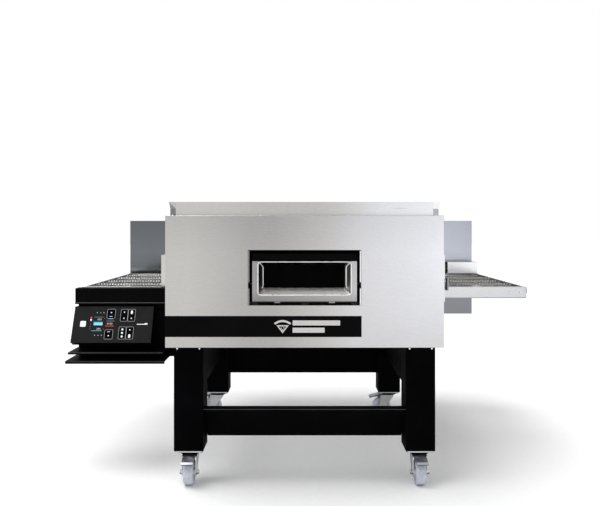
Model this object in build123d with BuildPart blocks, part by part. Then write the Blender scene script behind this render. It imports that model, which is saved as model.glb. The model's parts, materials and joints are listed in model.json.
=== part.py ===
"""Conveyor pizza oven on a castored stand. Millimetres, +Z up.

X runs along the conveyor, Y from the front panel to the back and Z up from the floor. The origin
lies on the floor under the middle of the whole machine. Depths are measured backwards from the
face of the front panel, so a depth d is the place y = FRONT_Y + d.
"""

import os
from math import sqrt

from build123d import *

# ---------------------------------------------------------------- driving dimensions
LENGTH = 2080  # conveyor, end to end
HEIGHT = 1153  # floor to the collar's rim
SHEET = 2  # casing sheet
GAP = 0.4  # clearance between pieces that move past each other
FIT = 0.05  # radial running fit

COVER_BACK = 1459  # outer face of the fan-motor covers
PEDAL_OVERHANG = 14  # tips of the front brake pedals, ahead of the front panel
DEPTH = COVER_BACK + PEDAL_OVERHANG
FRONT_Y = -DEPTH / 2 + PEDAL_OVERHANG  # face of the front panel
STRIPE_PROUD = 2
CONVEYOR_END = LENGTH / 2

BODY_HALF = 558
BODY_DEPTH = 1440
BODY_BACK = BODY_DEPTH - SHEET  # inner face of the back panel
BODY_Z = (567, 1096)

WINDOW_HALF = 227
WINDOW_Z = (736, 958)
RETURN_DEPTH = 100  # folded return round the window opening
CATCH_Z = 822

COLLAR_DEPTHS = (74, BODY_DEPTH)
COLLAR_WALL = 3
COLLAR_BEVEL = 28  # stopped chamfer on the collar's front corners

MOUTH_DEPTHS = (400, 1250)  # tunnel mouth in each side panel
MOUTH_Z = (700, 921)
SHROUD_DEPTHS = (402, 1248)
SHROUD_Z = (702, 919)
SHROUD_REACH = {-1: 661, 1: 653}  # outer edge of the shroud on each side
TAB_REACH = 670  # lower tab of the right shroud
WING_REACH = {-1: 1035, 1: 1010}  # outer edge of the wing on each side
WING_DEPTH = 1265
WING_Z = (526, 1082)

CHAMBER_HALF = 540
CHAMBER_DEPTHS = (360, 1290)
CHAMBER_Z = (640, 1000)
DUCT_HALF = 196  # viewing duct from the door to the chamber
DUCT_Z = (757, 908)
JET_X = (-390, -130, 130, 390)
JET_WIDTH = 150
PLENUM_BACK = 1372
FAN_X = 260
FAN_Z = 850
FAN_RADIUS = 95
FAN_FRONT = 1304
FAN_WIDTH = 48
FAN_SHAFT_RADIUS = 7
MOTOR_RADIUS = 58

RAIL_DEPTHS = (419, 435)
REAR_RAIL_DEPTHS = (1224, 1240)
RAIL_Z = (716, 770)
BELT_DEPTHS = (450, 1210)
BELT_THICK = 6
BELT_TURN = 26  # outer radius of the belt where it turns over a shaft
SHAFT_X = 996
SHAFT_Z = 742
SHAFT_RADIUS = 8
SPROCKET_RADIUS = BELT_TURN - BELT_THICK - GAP
SPROCKET_DEPTHS = (470, 590, 710, 830, 950, 1070, 1190)
CHAIN_DEPTHS = (1246, 1252)
CHAIN_THICK = 5
DRIVE_SPROCKET_RADIUS = 16
MOTOR_SPROCKET_RADIUS = 16
MOTOR_SHAFT_X = 968
MOTOR_SHAFT_Z = 812
MOTOR_SHAFT_RADIUS = 5
COVER_X = (835, 1010)  # cover of the conveyor's gearmotor
COVER_DEPTHS = (1139, WING_DEPTH)
COVER_Z = (777, 843)

DOOR_HALF = 212
DOOR_Z = (749, 914)
DOOR_DEPTHS = (15, 48)
DOOR_BOX_BACK = 97
RECESS_OUTER = (0, 843, 376, 134, 12)  # middle x and z, width, height, corner radius
RECESS_INNER = (0, 848.5, 328, 93, 4)
HANDLE_DEPTHS = (6, 50)
HANDLE_Z = (914, 945)
HINGE_DEPTH = 22
HINGE_Z = 745
HINGE_PIN_RADIUS = 2
KNUCKLE_RADIUS = 3.5
KNUCKLE_HALF = 12
DOOR_KNUCKLES = (-110, 110)
BODY_KNUCKLES = (-200, 0, 200)

CONSOLE_X = (-CONVEYOR_END, -682)
BEAM_DEPTHS = (347, 398)
BEAM_Z = (698, 770)
BEAM_END = -561
FACE_TOP = (347, 688)  # depth and height of the control face's upper edge
FACE_BOTTOM = (282, 534)
FACE_THICK = 3
WEB_DEPTHS = (380, 398)
PLATE_BOTTOM = 454

# middle x, distance down the face, width, height of each key's window
KEYS = {
    "power_button": (-994, 81, 26, 27),
    "upper_heat_key": (-872, 35, 36, 43),
    "lower_heat_key": (-874, 129, 36, 42),
    "program_up_key": (-813, 41.5, 31, 55),
    "program_down_key": (-779.5, 41.5, 31, 55),
    "belt_slower_key": (-814, 122.5, 31, 55),
    "belt_faster_key": (-780.5, 122.5, 31, 55),
}
KEY_PROUD = 0.5
KEY_FOOT = (-4.9, -3.6)  # retaining foot behind the face plate

LEG = 120
LEG_WALL = 3
LEG_X = 470
LEG_DEPTHS = (90, 999)  # middles of the front and rear legs
BEAM_SHEET = 3
CASTER_HEIGHT = 142

WHEEL_RADIUS = 50
WHEEL_WIDTH = 40
HUB_WIDTH = 53
TRAIL = 35  # axle behind the swivel axis
AXLE_RADIUS = 5
KINGPIN_RADIUS = 6
CHEEK_X = (27, 30)
PLATE_SIZE = 114
PLATE_THICK = 6
RING_RADIUS = 40
PEDAL_PIVOT = (-37, 113)  # local y and z of the brake pedal's pin
PEDAL_PIN_RADIUS = 3
# middle x, depth and turn about Z of each caster; an unturned caster trails towards the front
CASTERS = {
    "front_left": (-LEG_X, LEG_DEPTHS[0], 0),
    "front_right": (LEG_X, LEG_DEPTHS[0], 0),
    "rear_left": (-LEG_X, LEG_DEPTHS[1], -90),
    "rear_right": (LEG_X, LEG_DEPTHS[1], -90),
}

os.makedirs("parts", exist_ok=True)


# ---------------------------------------------------------------- helpers
def at_depth(depth):
    """The y of a depth behind the front panel's face."""
    return FRONT_Y + depth


def front_plane(depth, x=0, z=0):
    """A plane that faces the front, with its own x along X and its own y along Z."""
    return Plane(origin=(x, at_depth(depth), z), x_dir=(1, 0, 0), z_dir=(0, -1, 0))


def block(x_ends, depths, z_ends, mode=Mode.ADD):
    """A box in the current part, given by its ends along X, in depth and along Z."""
    size = (abs(x_ends[1] - x_ends[0]), abs(depths[1] - depths[0]), abs(z_ends[1] - z_ends[0]))
    middle = (sum(x_ends) / 2, at_depth(sum(depths) / 2), sum(z_ends) / 2)
    with Locations(middle):
        Box(*size, mode=mode)


def rod(x, depths, z, radius, mode=Mode.ADD):
    """A round bar along Y between two depths."""
    middle = (x, at_depth(sum(depths) / 2), z)
    with Locations(Location(middle, (90, 0, 0))):
        Cylinder(radius, abs(depths[1] - depths[0]), mode=mode)


def rod_x(x_ends, depth, z, radius, mode=Mode.ADD):
    """A round bar along X."""
    middle = (sum(x_ends) / 2, at_depth(depth), z)
    with Locations(Location(middle, (0, 90, 0))):
        Cylinder(radius, abs(x_ends[1] - x_ends[0]), mode=mode)


def front_edges(piece, axis=None):
    """Edges of a piece's foremost face, all of them or those along one axis."""
    edges = piece.faces().sort_by(Axis.Y)[0].edges()
    return edges.filter_by(axis) if axis else edges


def save(piece, name):
    """Label a finished piece and write its file."""
    piece.part.label = name
    export_step(piece.part, f"parts/{name}.step")


# ---------------------------------------------------------------- casing
with BuildPart() as front_panel:
    block((-BODY_HALF, BODY_HALF), (0, SHEET), BODY_Z)
    fillet(front_edges(front_panel), 1.4)
    for side in (-1, 1):
        block((side * 553, side * 555), (SHEET, 22), (575, 1088))
    return_z = (WINDOW_Z[0] - SHEET, WINDOW_Z[1] + SHEET)
    block((-WINDOW_HALF - SHEET, WINDOW_HALF + SHEET), (SHEET, RETURN_DEPTH), return_z)
    block((-WINDOW_HALF, WINDOW_HALF), (-1, RETURN_DEPTH + 1), WINDOW_Z, mode=Mode.SUBTRACT)
    for side in (-1, 1):
        slot_x = (side * (WINDOW_HALF - 1), side * (WINDOW_HALF + SHEET + 1))
        block(slot_x, (6, 30), (CATCH_Z - 16, CATCH_Z + 8), mode=Mode.SUBTRACT)
save(front_panel, "front_panel")

with BuildPart() as side_panels:
    for side in (-1, 1):
        block((side * (BODY_HALF - SHEET), side * BODY_HALF), (SHEET, BODY_BACK), BODY_Z)
        block((side * 550, side * 560), MOUTH_DEPTHS, MOUTH_Z, mode=Mode.SUBTRACT)
save(side_panels, "side_panels")

INNER_HALF = BODY_HALF - SHEET
with BuildPart() as top_panel:
    block((-INNER_HALF, INNER_HALF), (SHEET, BODY_BACK), (BODY_Z[1] - SHEET, BODY_Z[1]))
    with Locations((0, at_depth(1330), BODY_Z[1] - SHEET / 2)):
        with GridLocations(24, 0, 32, 1):
            Box(10, 90, 3 * SHEET, mode=Mode.SUBTRACT)
save(top_panel, "top_panel")

with BuildPart() as bottom_panel:
    block((-INNER_HALF, INNER_HALF), (SHEET, BODY_BACK), (BODY_Z[0], BODY_Z[0] + SHEET))
save(bottom_panel, "bottom_panel")

GLAND = (-480, 620)  # x and z of the cable gland
with BuildPart() as back_panel:
    block((-BODY_HALF, BODY_HALF), (BODY_BACK, BODY_DEPTH), BODY_Z)
    for x in (-FAN_X, FAN_X):
        rod(x, (BODY_BACK - 1, BODY_DEPTH + 1), FAN_Z, 75, mode=Mode.SUBTRACT)
    with Locations(Location((60, at_depth(BODY_DEPTH - SHEET / 2), 650), (90, 0, 0))):
        with GridLocations(90, 16, 9, 5):
            Box(60, 6, 3 * SHEET, mode=Mode.SUBTRACT)
    rod(GLAND[0], (BODY_BACK - 1, BODY_DEPTH + 1), GLAND[1], 9, mode=Mode.SUBTRACT)
save(back_panel, "back_panel")

# The collar is an open ring on the roof. Its front corners carry a stopped chamfer: a flat bevel
# that runs out to a full corner at the rim.
COLLAR_FRONT = at_depth(COLLAR_DEPTHS[0])
BEVEL_TOP = HEIGHT - COLLAR_BEVEL
with BuildPart() as top_collar:
    block((-BODY_HALF, BODY_HALF), COLLAR_DEPTHS, (BODY_Z[1], HEIGHT))
    for side in (-1, 1):
        corner = (side * BODY_HALF, COLLAR_FRONT)
        along_front = (side * (BODY_HALF - COLLAR_BEVEL), COLLAR_FRONT)
        along_side = (side * BODY_HALF, COLLAR_FRONT + COLLAR_BEVEL)
        with BuildSketch(Plane.XY.offset(BODY_Z[1])):
            with BuildLine():
                Polyline(corner, along_front, along_side, close=True)
            make_face()
        extrude(amount=BEVEL_TOP - BODY_Z[1], mode=Mode.SUBTRACT)
        with BuildSketch(Plane.XY.offset(BEVEL_TOP)) as bevel_foot:
            with BuildLine():
                Polyline(corner, along_front, along_side, close=True)
            make_face()
        loft([bevel_foot.face(), Vertex(*corner, HEIGHT)], mode=Mode.SUBTRACT)
    with BuildSketch(Plane.XY.offset(BODY_Z[1])) as cavity:
        cavity_depth = COLLAR_DEPTHS[1] - COLLAR_DEPTHS[0] - 2 * COLLAR_WALL
        with Locations((0, COLLAR_FRONT + COLLAR_WALL + cavity_depth / 2)):
            Rectangle(2 * (BODY_HALF - COLLAR_WALL), cavity_depth)
        front_corners = cavity.vertices().group_by(Axis.Y)[0]
        chamfer(front_corners, COLLAR_BEVEL - COLLAR_WALL * (2 - sqrt(2)))
    extrude(amount=HEIGHT - BODY_Z[1], mode=Mode.SUBTRACT)
save(top_collar, "top_collar")

with BuildPart() as trim_stripe:
    block((-BODY_HALF, 228), (-STRIPE_PROUD, 0), (610, 694))
    fillet(front_edges(trim_stripe), 0.6)
save(trim_stripe, "trim_stripe")

# Each shroud lines a tunnel mouth and stands out from the side panel. The right one ends in a
# slotted lower tab at its front.
with BuildPart() as mouth_shrouds:
    for side in (-1, 1):
        reach = SHROUD_REACH[side]
        block((side * 541, side * reach), SHROUD_DEPTHS, SHROUD_Z)
        flange_depths = (MOUTH_DEPTHS[0] - 8, MOUTH_DEPTHS[1] + 8)
        block((side * BODY_HALF, side * (BODY_HALF + SHEET)), flange_depths, (692, 932))
        bore_depths = (SHROUD_DEPTHS[0] + SHEET, SHROUD_DEPTHS[1] - SHEET)
        bore_z = (SHROUD_Z[0] + SHEET, SHROUD_Z[1] - SHEET)
        block((side * 540, side * 700), bore_depths, bore_z, mode=Mode.SUBTRACT)
        for rail in (RAIL_DEPTHS, REAR_RAIL_DEPTHS):
            block((side * 600, side * 640), rail, (bore_z[0], RAIL_Z[0]))
    tab_depths = (SHROUD_DEPTHS[0], SHROUD_DEPTHS[0] + SHEET)
    block((SHROUD_REACH[1] - 2, TAB_REACH), tab_depths, (755, 812))
    block((651, 658), (400, 406), (757, 808), mode=Mode.SUBTRACT)
save(mouth_shrouds, "mouth_shrouds")

with BuildPart() as rear_wings:
    for side in (-1, 1):
        fold_depths = (WING_DEPTH, WING_DEPTH + 20)
        reach = WING_REACH[side]
        block((side * BODY_HALF, side * reach), fold_depths, WING_Z)
        hollow_x = (side * (BODY_HALF + SHEET), side * (reach - SHEET))
        hollow_depths = (WING_DEPTH + SHEET, WING_DEPTH + 21)
        block(hollow_x, hollow_depths, (WING_Z[0] + SHEET, WING_Z[1] - SHEET), mode=Mode.SUBTRACT)
save(rear_wings, "rear_wings")

# ---------------------------------------------------------------- hot side
with BuildPart() as baking_chamber:
    block((-CHAMBER_HALF, CHAMBER_HALF), CHAMBER_DEPTHS, CHAMBER_Z)
    inner_depths = (CHAMBER_DEPTHS[0] + SHEET, CHAMBER_DEPTHS[1] - SHEET)
    inner_z = (CHAMBER_Z[0] + SHEET, CHAMBER_Z[1] - SHEET)
    inner_half = CHAMBER_HALF - SHEET
    block((-inner_half, inner_half), inner_depths, inner_z, mode=Mode.SUBTRACT)
    block((-600, 600), (404, 1246), (704, 921), mode=Mode.SUBTRACT)
    for x in (-FAN_X, FAN_X):
        rod(x, (CHAMBER_DEPTHS[1] - 3, CHAMBER_DEPTHS[1] + 1), FAN_Z, 80, mode=Mode.SUBTRACT)
    for outlet_z in ((960, 990), (650, 692)):
        outlet_depths = (CHAMBER_DEPTHS[1] - 3, CHAMBER_DEPTHS[1] + 1)
        block((-470, 470), outlet_depths, outlet_z, mode=Mode.SUBTRACT)
    block((-WINDOW_HALF, WINDOW_HALF), (RETURN_DEPTH, RETURN_DEPTH + SHEET), WINDOW_Z)
    block((-DUCT_HALF, DUCT_HALF), (RETURN_DEPTH, inner_depths[0]), DUCT_Z)
    duct_bore = (-DUCT_HALF + SHEET, DUCT_HALF - SHEET)
    duct_bore_z = (DUCT_Z[0] + SHEET, DUCT_Z[1] - SHEET)
    block(duct_bore, (RETURN_DEPTH - 1, inner_depths[0] + 1), duct_bore_z, mode=Mode.SUBTRACT)
save(baking_chamber, "baking_chamber")

with BuildPart() as chamber_insulation:
    block((-CHAMBER_HALF, CHAMBER_HALF), (106, 1430), (BODY_Z[0] + SHEET, 1062))
    block((-600, 600), (358, 1374), (CHAMBER_Z[0] - 2, CHAMBER_Z[1] + 2), mode=Mode.SUBTRACT)
    duct_room_z = (DUCT_Z[0] - 2, DUCT_Z[1] + 2)
    block((-DUCT_HALF - 2, DUCT_HALF + 2), (105, 360), duct_room_z, mode=Mode.SUBTRACT)
    for x in (-FAN_X, FAN_X):
        rod(x, (PLENUM_BACK, 1431), FAN_Z, 85, mode=Mode.SUBTRACT)
save(chamber_insulation, "chamber_insulation")


def jet_duct(duct_z, jet_face):
    """One closed air duct under or over the belt, with its jets in the face towards the belt."""
    with BuildPart() as duct:
        ends = (-JET_WIDTH / 2, JET_WIDTH / 2)
        block(ends, (366, inner_depths[1]), duct_z)
        inner = (ends[0] + SHEET, ends[1] - SHEET)
        inner_duct_z = (duct_z[0] + SHEET, duct_z[1] - SHEET)
        block(inner, (366 + SHEET, inner_depths[1] + 1), inner_duct_z, mode=Mode.SUBTRACT)
        with Locations((0, at_depth(825), jet_face)):
            with GridLocations(60, 65, 2, 13):
                Cylinder(8, 8, mode=Mode.SUBTRACT)
    return duct.part


upper_duct = jet_duct((885, 992), 885)
lower_duct = jet_duct((644, 698), 698)
with BuildPart() as air_jets:
    with Locations(*[(x, 0, 0) for x in JET_X]):
        add(upper_duct)
        add(lower_duct)
save(air_jets, "air_jets")

with BuildPart() as rear_plenum:
    block((-520, 520), (CHAMBER_DEPTHS[1], PLENUM_BACK), (CHAMBER_Z[0] + 5, CHAMBER_Z[1] - 2))
    plenum_z = (CHAMBER_Z[0] + 7, CHAMBER_Z[1] - 4)
    plenum_depths = (CHAMBER_DEPTHS[1] - 1, PLENUM_BACK - SHEET)
    block((-518, 518), plenum_depths, plenum_z, mode=Mode.SUBTRACT)
    for x in (-FAN_X, FAN_X):
        rod(x, (PLENUM_BACK - 3, PLENUM_BACK + 1), FAN_Z, 12, mode=Mode.SUBTRACT)
save(rear_plenum, "rear_plenum")

with BuildPart() as heating_elements:
    ring_depth = FAN_FRONT + 14
    for x in (-FAN_X, FAN_X):
        with Locations(Location((x, at_depth(ring_depth), FAN_Z), (90, 0, 0))):
            Torus(120, 4)
        for tail in (-15, 15):
            rod(x + tail, (ring_depth, PLENUM_BACK - SHEET), FAN_Z - 119, 4)
save(heating_elements, "heating_elements")

for side, name in ((-1, "circulation_fan_left"), (1, "circulation_fan_right")):
    wheel_plane = Plane(
        origin=(side * FAN_X, at_depth(FAN_FRONT), FAN_Z), x_dir=(1, 0, 0), z_dir=(0, 1, 0)
    )
    with BuildPart() as fan:
        with BuildSketch(wheel_plane):
            Circle(FAN_RADIUS)
            Circle(60, mode=Mode.SUBTRACT)
        extrude(amount=SHEET)
        with BuildSketch(wheel_plane.offset(SHEET)):
            with PolarLocations(78, 12):
                Rectangle(36, 2, rotation=35)
        extrude(amount=FAN_WIDTH - 2 * SHEET)
        with BuildSketch(wheel_plane.offset(FAN_WIDTH - SHEET)):
            Circle(FAN_RADIUS)
        extrude(amount=SHEET)
        with BuildSketch(wheel_plane.offset(26)):
            Circle(20)
        extrude(amount=FAN_WIDTH - SHEET - 26)
        with BuildSketch(wheel_plane.offset(FAN_WIDTH)):
            Circle(FAN_SHAFT_RADIUS)
        extrude(amount=32)
    save(fan, name)

with BuildPart() as fan_motors:
    for x in (-FAN_X, FAN_X):
        rod(x, (PLENUM_BACK, PLENUM_BACK + 5), FAN_Z, 80)
        rod(x, (PLENUM_BACK + 5, 1446), FAN_Z, MOTOR_RADIUS)
        rod(x, (1446, 1454), FAN_Z, MOTOR_RADIUS - 12)
        rod(x, (PLENUM_BACK - 1, 1390), FAN_Z, FAN_SHAFT_RADIUS + FIT, mode=Mode.SUBTRACT)
save(fan_motors, "fan_motors")

with BuildPart() as fan_motor_covers:
    for x in (-FAN_X, FAN_X):
        block((x - 95, x + 95), (BODY_DEPTH, COVER_BACK), (FAN_Z - 95, FAN_Z + 95))
    fillet(fan_motor_covers.faces().group_by(Axis.Y)[-1].edges(), 3)
    for x in (-FAN_X, FAN_X):
        room_z = (FAN_Z - 93, FAN_Z + 93)
        block((x - 93, x + 93), (BODY_DEPTH - 1, COVER_BACK - SHEET), room_z, mode=Mode.SUBTRACT)
        with Locations(Location((x, at_depth(COVER_BACK - 1), FAN_Z), (90, 0, 0))):
            with GridLocations(0, 16, 1, 9):
                Box(140, 6, 6, mode=Mode.SUBTRACT)
save(fan_motor_covers, "fan_motor_covers")

with BuildPart() as cable_gland:
    rod(GLAND[0], (1433, BODY_DEPTH), GLAND[1], 8.9)
    with BuildSketch(front_plane(BODY_DEPTH, *GLAND)):
        RegularPolygon(14, 6)
    extrude(amount=-6)
    rod(GLAND[0], (1446, 1456), GLAND[1], 11)
    fillet(cable_gland.faces().sort_by(Axis.Y)[-1].edges(), 2)
    rod(GLAND[0], (1432, 1457), GLAND[1], 6, mode=Mode.SUBTRACT)
save(cable_gland, "cable_gland")

# ---------------------------------------------------------------- conveyor
with BuildPart() as conveyor_rails:
    for depths in (RAIL_DEPTHS, REAR_RAIL_DEPTHS):
        block((-CONVEYOR_END, CONVEYOR_END), depths, RAIL_Z)
    fillet(conveyor_rails.edges().filter_by(Axis.X).group_by(Axis.Y)[0], 1.5)
    end_corners = conveyor_rails.edges().filter_by(Axis.Y)
    fillet(end_corners, 8)
    front_bore = (RAIL_DEPTHS[0] + SHEET, RAIL_DEPTHS[1] + 1)
    rear_bore = (REAR_RAIL_DEPTHS[0] - 1, REAR_RAIL_DEPTHS[1] - SHEET)
    for depths in (front_bore, rear_bore):
        channel_z = (RAIL_Z[0] + SHEET, RAIL_Z[1] - SHEET)
        block((-CONVEYOR_END - 1, CONVEYOR_END + 1), depths, channel_z, mode=Mode.SUBTRACT)
    for side in (-1, 1):
        bearing_x = (side * SHAFT_X - 16, side * SHAFT_X + 16)
        for depths in ((front_bore[0], front_bore[0] + 10), (rear_bore[1] - 10, rear_bore[1])):
            block(bearing_x, depths, (SHAFT_Z - 16, SHAFT_Z + 16))
            bore_ends = (depths[0] - 0.01, depths[1] + 0.01)
            rod(side * SHAFT_X, bore_ends, SHAFT_Z, SHAFT_RADIUS + FIT, mode=Mode.SUBTRACT)
    rod(SHAFT_X, (rear_bore[1] - 1, 1241), SHAFT_Z, SHAFT_RADIUS + FIT, mode=Mode.SUBTRACT)
save(conveyor_rails, "conveyor_rails")

BETWEEN_WEBS = (front_bore[0], rear_bore[1])
with BuildPart() as conveyor_cross_bars:
    for side in (-1, 1):
        with Locations((side * (CONVEYOR_END - 6), at_depth(sum(BETWEEN_WEBS) / 2), 753)):
            Box(12, BETWEEN_WEBS[1] - BETWEEN_WEBS[0], 30)
    fillet(conveyor_cross_bars.edges().filter_by(Axis.Y), 5)
    for x in range(-935, 936, 170):
        rod(x, BETWEEN_WEBS, 748.6, 5)
    for depth in (500, 665, 830, 995, 1160):
        rod_x((-960, 960), depth, 757.4, 4)
save(conveyor_cross_bars, "conveyor_cross_bars")

with BuildPart() as conveyor_belt:
    with BuildSketch(front_plane(BELT_DEPTHS[0], 0, SHAFT_Z)):
        SlotCenterToCenter(2 * SHAFT_X, 2 * BELT_TURN)
        SlotCenterToCenter(2 * SHAFT_X, 2 * (BELT_TURN - BELT_THICK), mode=Mode.SUBTRACT)
    extrude(amount=-(BELT_DEPTHS[1] - BELT_DEPTHS[0]))
save(conveyor_belt, "conveyor_belt")


def belt_sprockets(x):
    """The row of toothed wheels on one belt shaft, in the current part."""
    for depth in SPROCKET_DEPTHS:
        with BuildSketch(front_plane(depth - 6, x, SHAFT_Z)) as toothed:
            Circle(SPROCKET_RADIUS)
            with PolarLocations(SPROCKET_RADIUS, 10):
                Circle(2.4, mode=Mode.SUBTRACT)
        extrude(toothed.sketch, amount=-12)


SHAFT_START = front_bore[0] + 0.5
with BuildPart() as drive_shaft:
    rod(SHAFT_X, (SHAFT_START, CHAIN_DEPTHS[1] + 5), SHAFT_Z, SHAFT_RADIUS)
    belt_sprockets(SHAFT_X)
    rod(SHAFT_X, CHAIN_DEPTHS, SHAFT_Z, DRIVE_SPROCKET_RADIUS)
save(drive_shaft, "drive_shaft")

with BuildPart() as idler_shaft:
    rod(-SHAFT_X, (SHAFT_START, rear_bore[1] - 0.5), SHAFT_Z, SHAFT_RADIUS)
    belt_sprockets(-SHAFT_X)
save(idler_shaft, "idler_shaft")

with BuildPart() as drive_motor:
    block((940, 1005), (1200, 1240), (782, 838))
    block((850, 1005), (1212, 1240), (RAIL_Z[1], 782))
    rod_x((842, 940), 1192, 811, 24)
    fillet(drive_motor.faces().sort_by(Axis.X)[0].edges(), 4)
    shaft_bore = (1226, 1241)
    rod(MOTOR_SHAFT_X, shaft_bore, MOTOR_SHAFT_Z, MOTOR_SHAFT_RADIUS + FIT, mode=Mode.SUBTRACT)
save(drive_motor, "drive_motor")

with BuildPart() as motor_sprocket:
    rod(MOTOR_SHAFT_X, (1227, CHAIN_DEPTHS[1] + 2), MOTOR_SHAFT_Z, MOTOR_SHAFT_RADIUS)
    rod(MOTOR_SHAFT_X, CHAIN_DEPTHS, MOTOR_SHAFT_Z, MOTOR_SPROCKET_RADIUS)
save(motor_sprocket, "motor_sprocket")


def chain_outline(margin):
    """The hull round both chain sprockets, a margin outside them."""
    with BuildSketch(front_plane(CHAIN_DEPTHS[0] + 0.5)) as outline:
        with Locations((SHAFT_X, SHAFT_Z)):
            Circle(DRIVE_SPROCKET_RADIUS + margin)
        with Locations((MOTOR_SHAFT_X, MOTOR_SHAFT_Z)):
            Circle(MOTOR_SPROCKET_RADIUS + margin)
        make_hull()
    return outline.sketch


with BuildPart() as drive_chain:
    extrude(chain_outline(GAP + CHAIN_THICK), amount=-5)
    extrude(chain_outline(GAP), amount=-5, mode=Mode.SUBTRACT)
save(drive_chain, "drive_chain")

with BuildPart() as motor_cover:
    block(COVER_X, COVER_DEPTHS, COVER_Z)
    top_right = motor_cover.faces().sort_by(Axis.Z)[-1].edges().sort_by(Axis.X)[-1]
    fillet(top_right, 3)
    fillet(front_edges(motor_cover), 2)
    room_depths = (COVER_DEPTHS[0] + SHEET, COVER_DEPTHS[1] + 1)
    room_z = (COVER_Z[0] - 5, COVER_Z[1] - SHEET)
    block((COVER_X[0] - 5, COVER_X[1] - SHEET), room_depths, room_z, mode=Mode.SUBTRACT)
save(motor_cover, "motor_cover")

# ---------------------------------------------------------------- control console
with BuildPart() as console_beam:
    block((CONSOLE_X[0], BEAM_END), BEAM_DEPTHS, BEAM_Z)
    fillet(front_edges(console_beam, Axis.X).sort_by(Axis.Z)[-1], 3)
    hollow_depths = (BEAM_DEPTHS[0] + SHEET, BEAM_DEPTHS[1] + 1)
    hollow_z = (BEAM_Z[0] + SHEET, BEAM_Z[1] - SHEET)
    hollow_x = (CONSOLE_X[0] + SHEET, BEAM_END - SHEET)
    block(hollow_x, hollow_depths, hollow_z, mode=Mode.SUBTRACT)
    block((CONSOLE_X[0], BEAM_END), (BEAM_DEPTHS[0] - 3, BEAM_DEPTHS[0]), (699, 704))
save(console_beam, "console_beam")

FACE_RUN = FACE_TOP[0] - FACE_BOTTOM[0]
FACE_DROP = FACE_TOP[1] - FACE_BOTTOM[1]
FACE_LENGTH = sqrt(FACE_RUN**2 + FACE_DROP**2)
FACE_NORMAL = (0, -FACE_DROP / FACE_LENGTH, FACE_RUN / FACE_LENGTH)
face_plane = Plane(
    origin=(CONSOLE_X[0], at_depth(FACE_TOP[0]), FACE_TOP[1]), x_dir=(1, 0, 0), z_dir=FACE_NORMAL
)
FACE_WIDTH = CONSOLE_X[1] - CONSOLE_X[0]


def key_spot(key):
    """The middle of a key's window in the control face's own coordinates."""
    x, down, _, _ = KEYS[key]
    return (x - CONSOLE_X[0], -down)


with BuildPart() as console_face:
    with BuildSketch(face_plane.offset(-FACE_THICK)):
        Rectangle(FACE_WIDTH, FACE_LENGTH, align=(Align.MIN, Align.MAX))
    extrude(amount=FACE_THICK)
    fillet(console_face.faces().sort_by(Axis(face_plane.origin, FACE_NORMAL))[-1].edges(), 1.2)
    for key, (_, _, width, height) in KEYS.items():
        with BuildSketch(face_plane.offset(-FACE_THICK - 1)):
            with Locations(key_spot(key)):
                RectangleRounded(width, height, 5)
        extrude(amount=FACE_THICK + 2, mode=Mode.SUBTRACT)
save(console_face, "console_face")

for key, (_, _, width, height) in KEYS.items():
    with BuildPart() as key_cap:
        with BuildSketch(face_plane.offset(KEY_FOOT[0])):
            with Locations(key_spot(key)):
                RectangleRounded(width - 2 * GAP, height - 2 * GAP, 5 - GAP)
        extrude(amount=KEY_PROUD - KEY_FOOT[0])
        fillet(key_cap.faces().sort_by(Axis(face_plane.origin, FACE_NORMAL))[-1].edges(), 0.3)
        with BuildSketch(face_plane.offset(KEY_FOOT[0])):
            with Locations(key_spot(key)):
                Rectangle(width - 12, height + 5)
        extrude(amount=KEY_FOOT[1] - KEY_FOOT[0])
    save(key_cap, key)

with BuildPart() as control_board:
    with BuildSketch(face_plane.offset(-14)):
        with Locations((FACE_WIDTH / 2, -FACE_LENGTH / 2 + 2)):
            Rectangle(FACE_WIDTH - 60, FACE_LENGTH - 26)
    extrude(amount=1.6)
    with BuildSketch(face_plane.offset(-12.4)):
        with Locations((134, -82)):
            Rectangle(112, 42)
    extrude(amount=6)
    with BuildSketch(face_plane.offset(-12.4)):
        with Locations((FACE_WIDTH / 2, -FACE_LENGTH / 2 + 2)):
            with GridLocations(FACE_WIDTH - 76, FACE_LENGTH - 40, 2, 2):
                Circle(3)
    extrude(amount=12.4 - FACE_THICK)
save(control_board, "control_board")

BEHIND_FACE = (-FACE_THICK * FACE_NORMAL[1], -FACE_THICK * FACE_NORMAL[2])
INNER_TOP = (FACE_TOP[0] + BEHIND_FACE[0], FACE_TOP[1] + BEHIND_FACE[1])
INNER_BOTTOM = (FACE_BOTTOM[0] + BEHIND_FACE[0], FACE_BOTTOM[1] + BEHIND_FACE[1])
HOUSING_BOTTOM = 522
HOUSING_X = (CONSOLE_X[0] + 4, CONSOLE_X[1] - 4)
HOUSING_WALL = 2.5


def section(x, corners):
    """A closed outline of depth and height pairs, on a plane across X."""
    with BuildSketch(Plane.YZ.offset(x)) as outline:
        with BuildLine():
            Polyline(*[(at_depth(depth), z) for depth, z in corners], close=True)
        make_face()
    return outline.sketch


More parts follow.
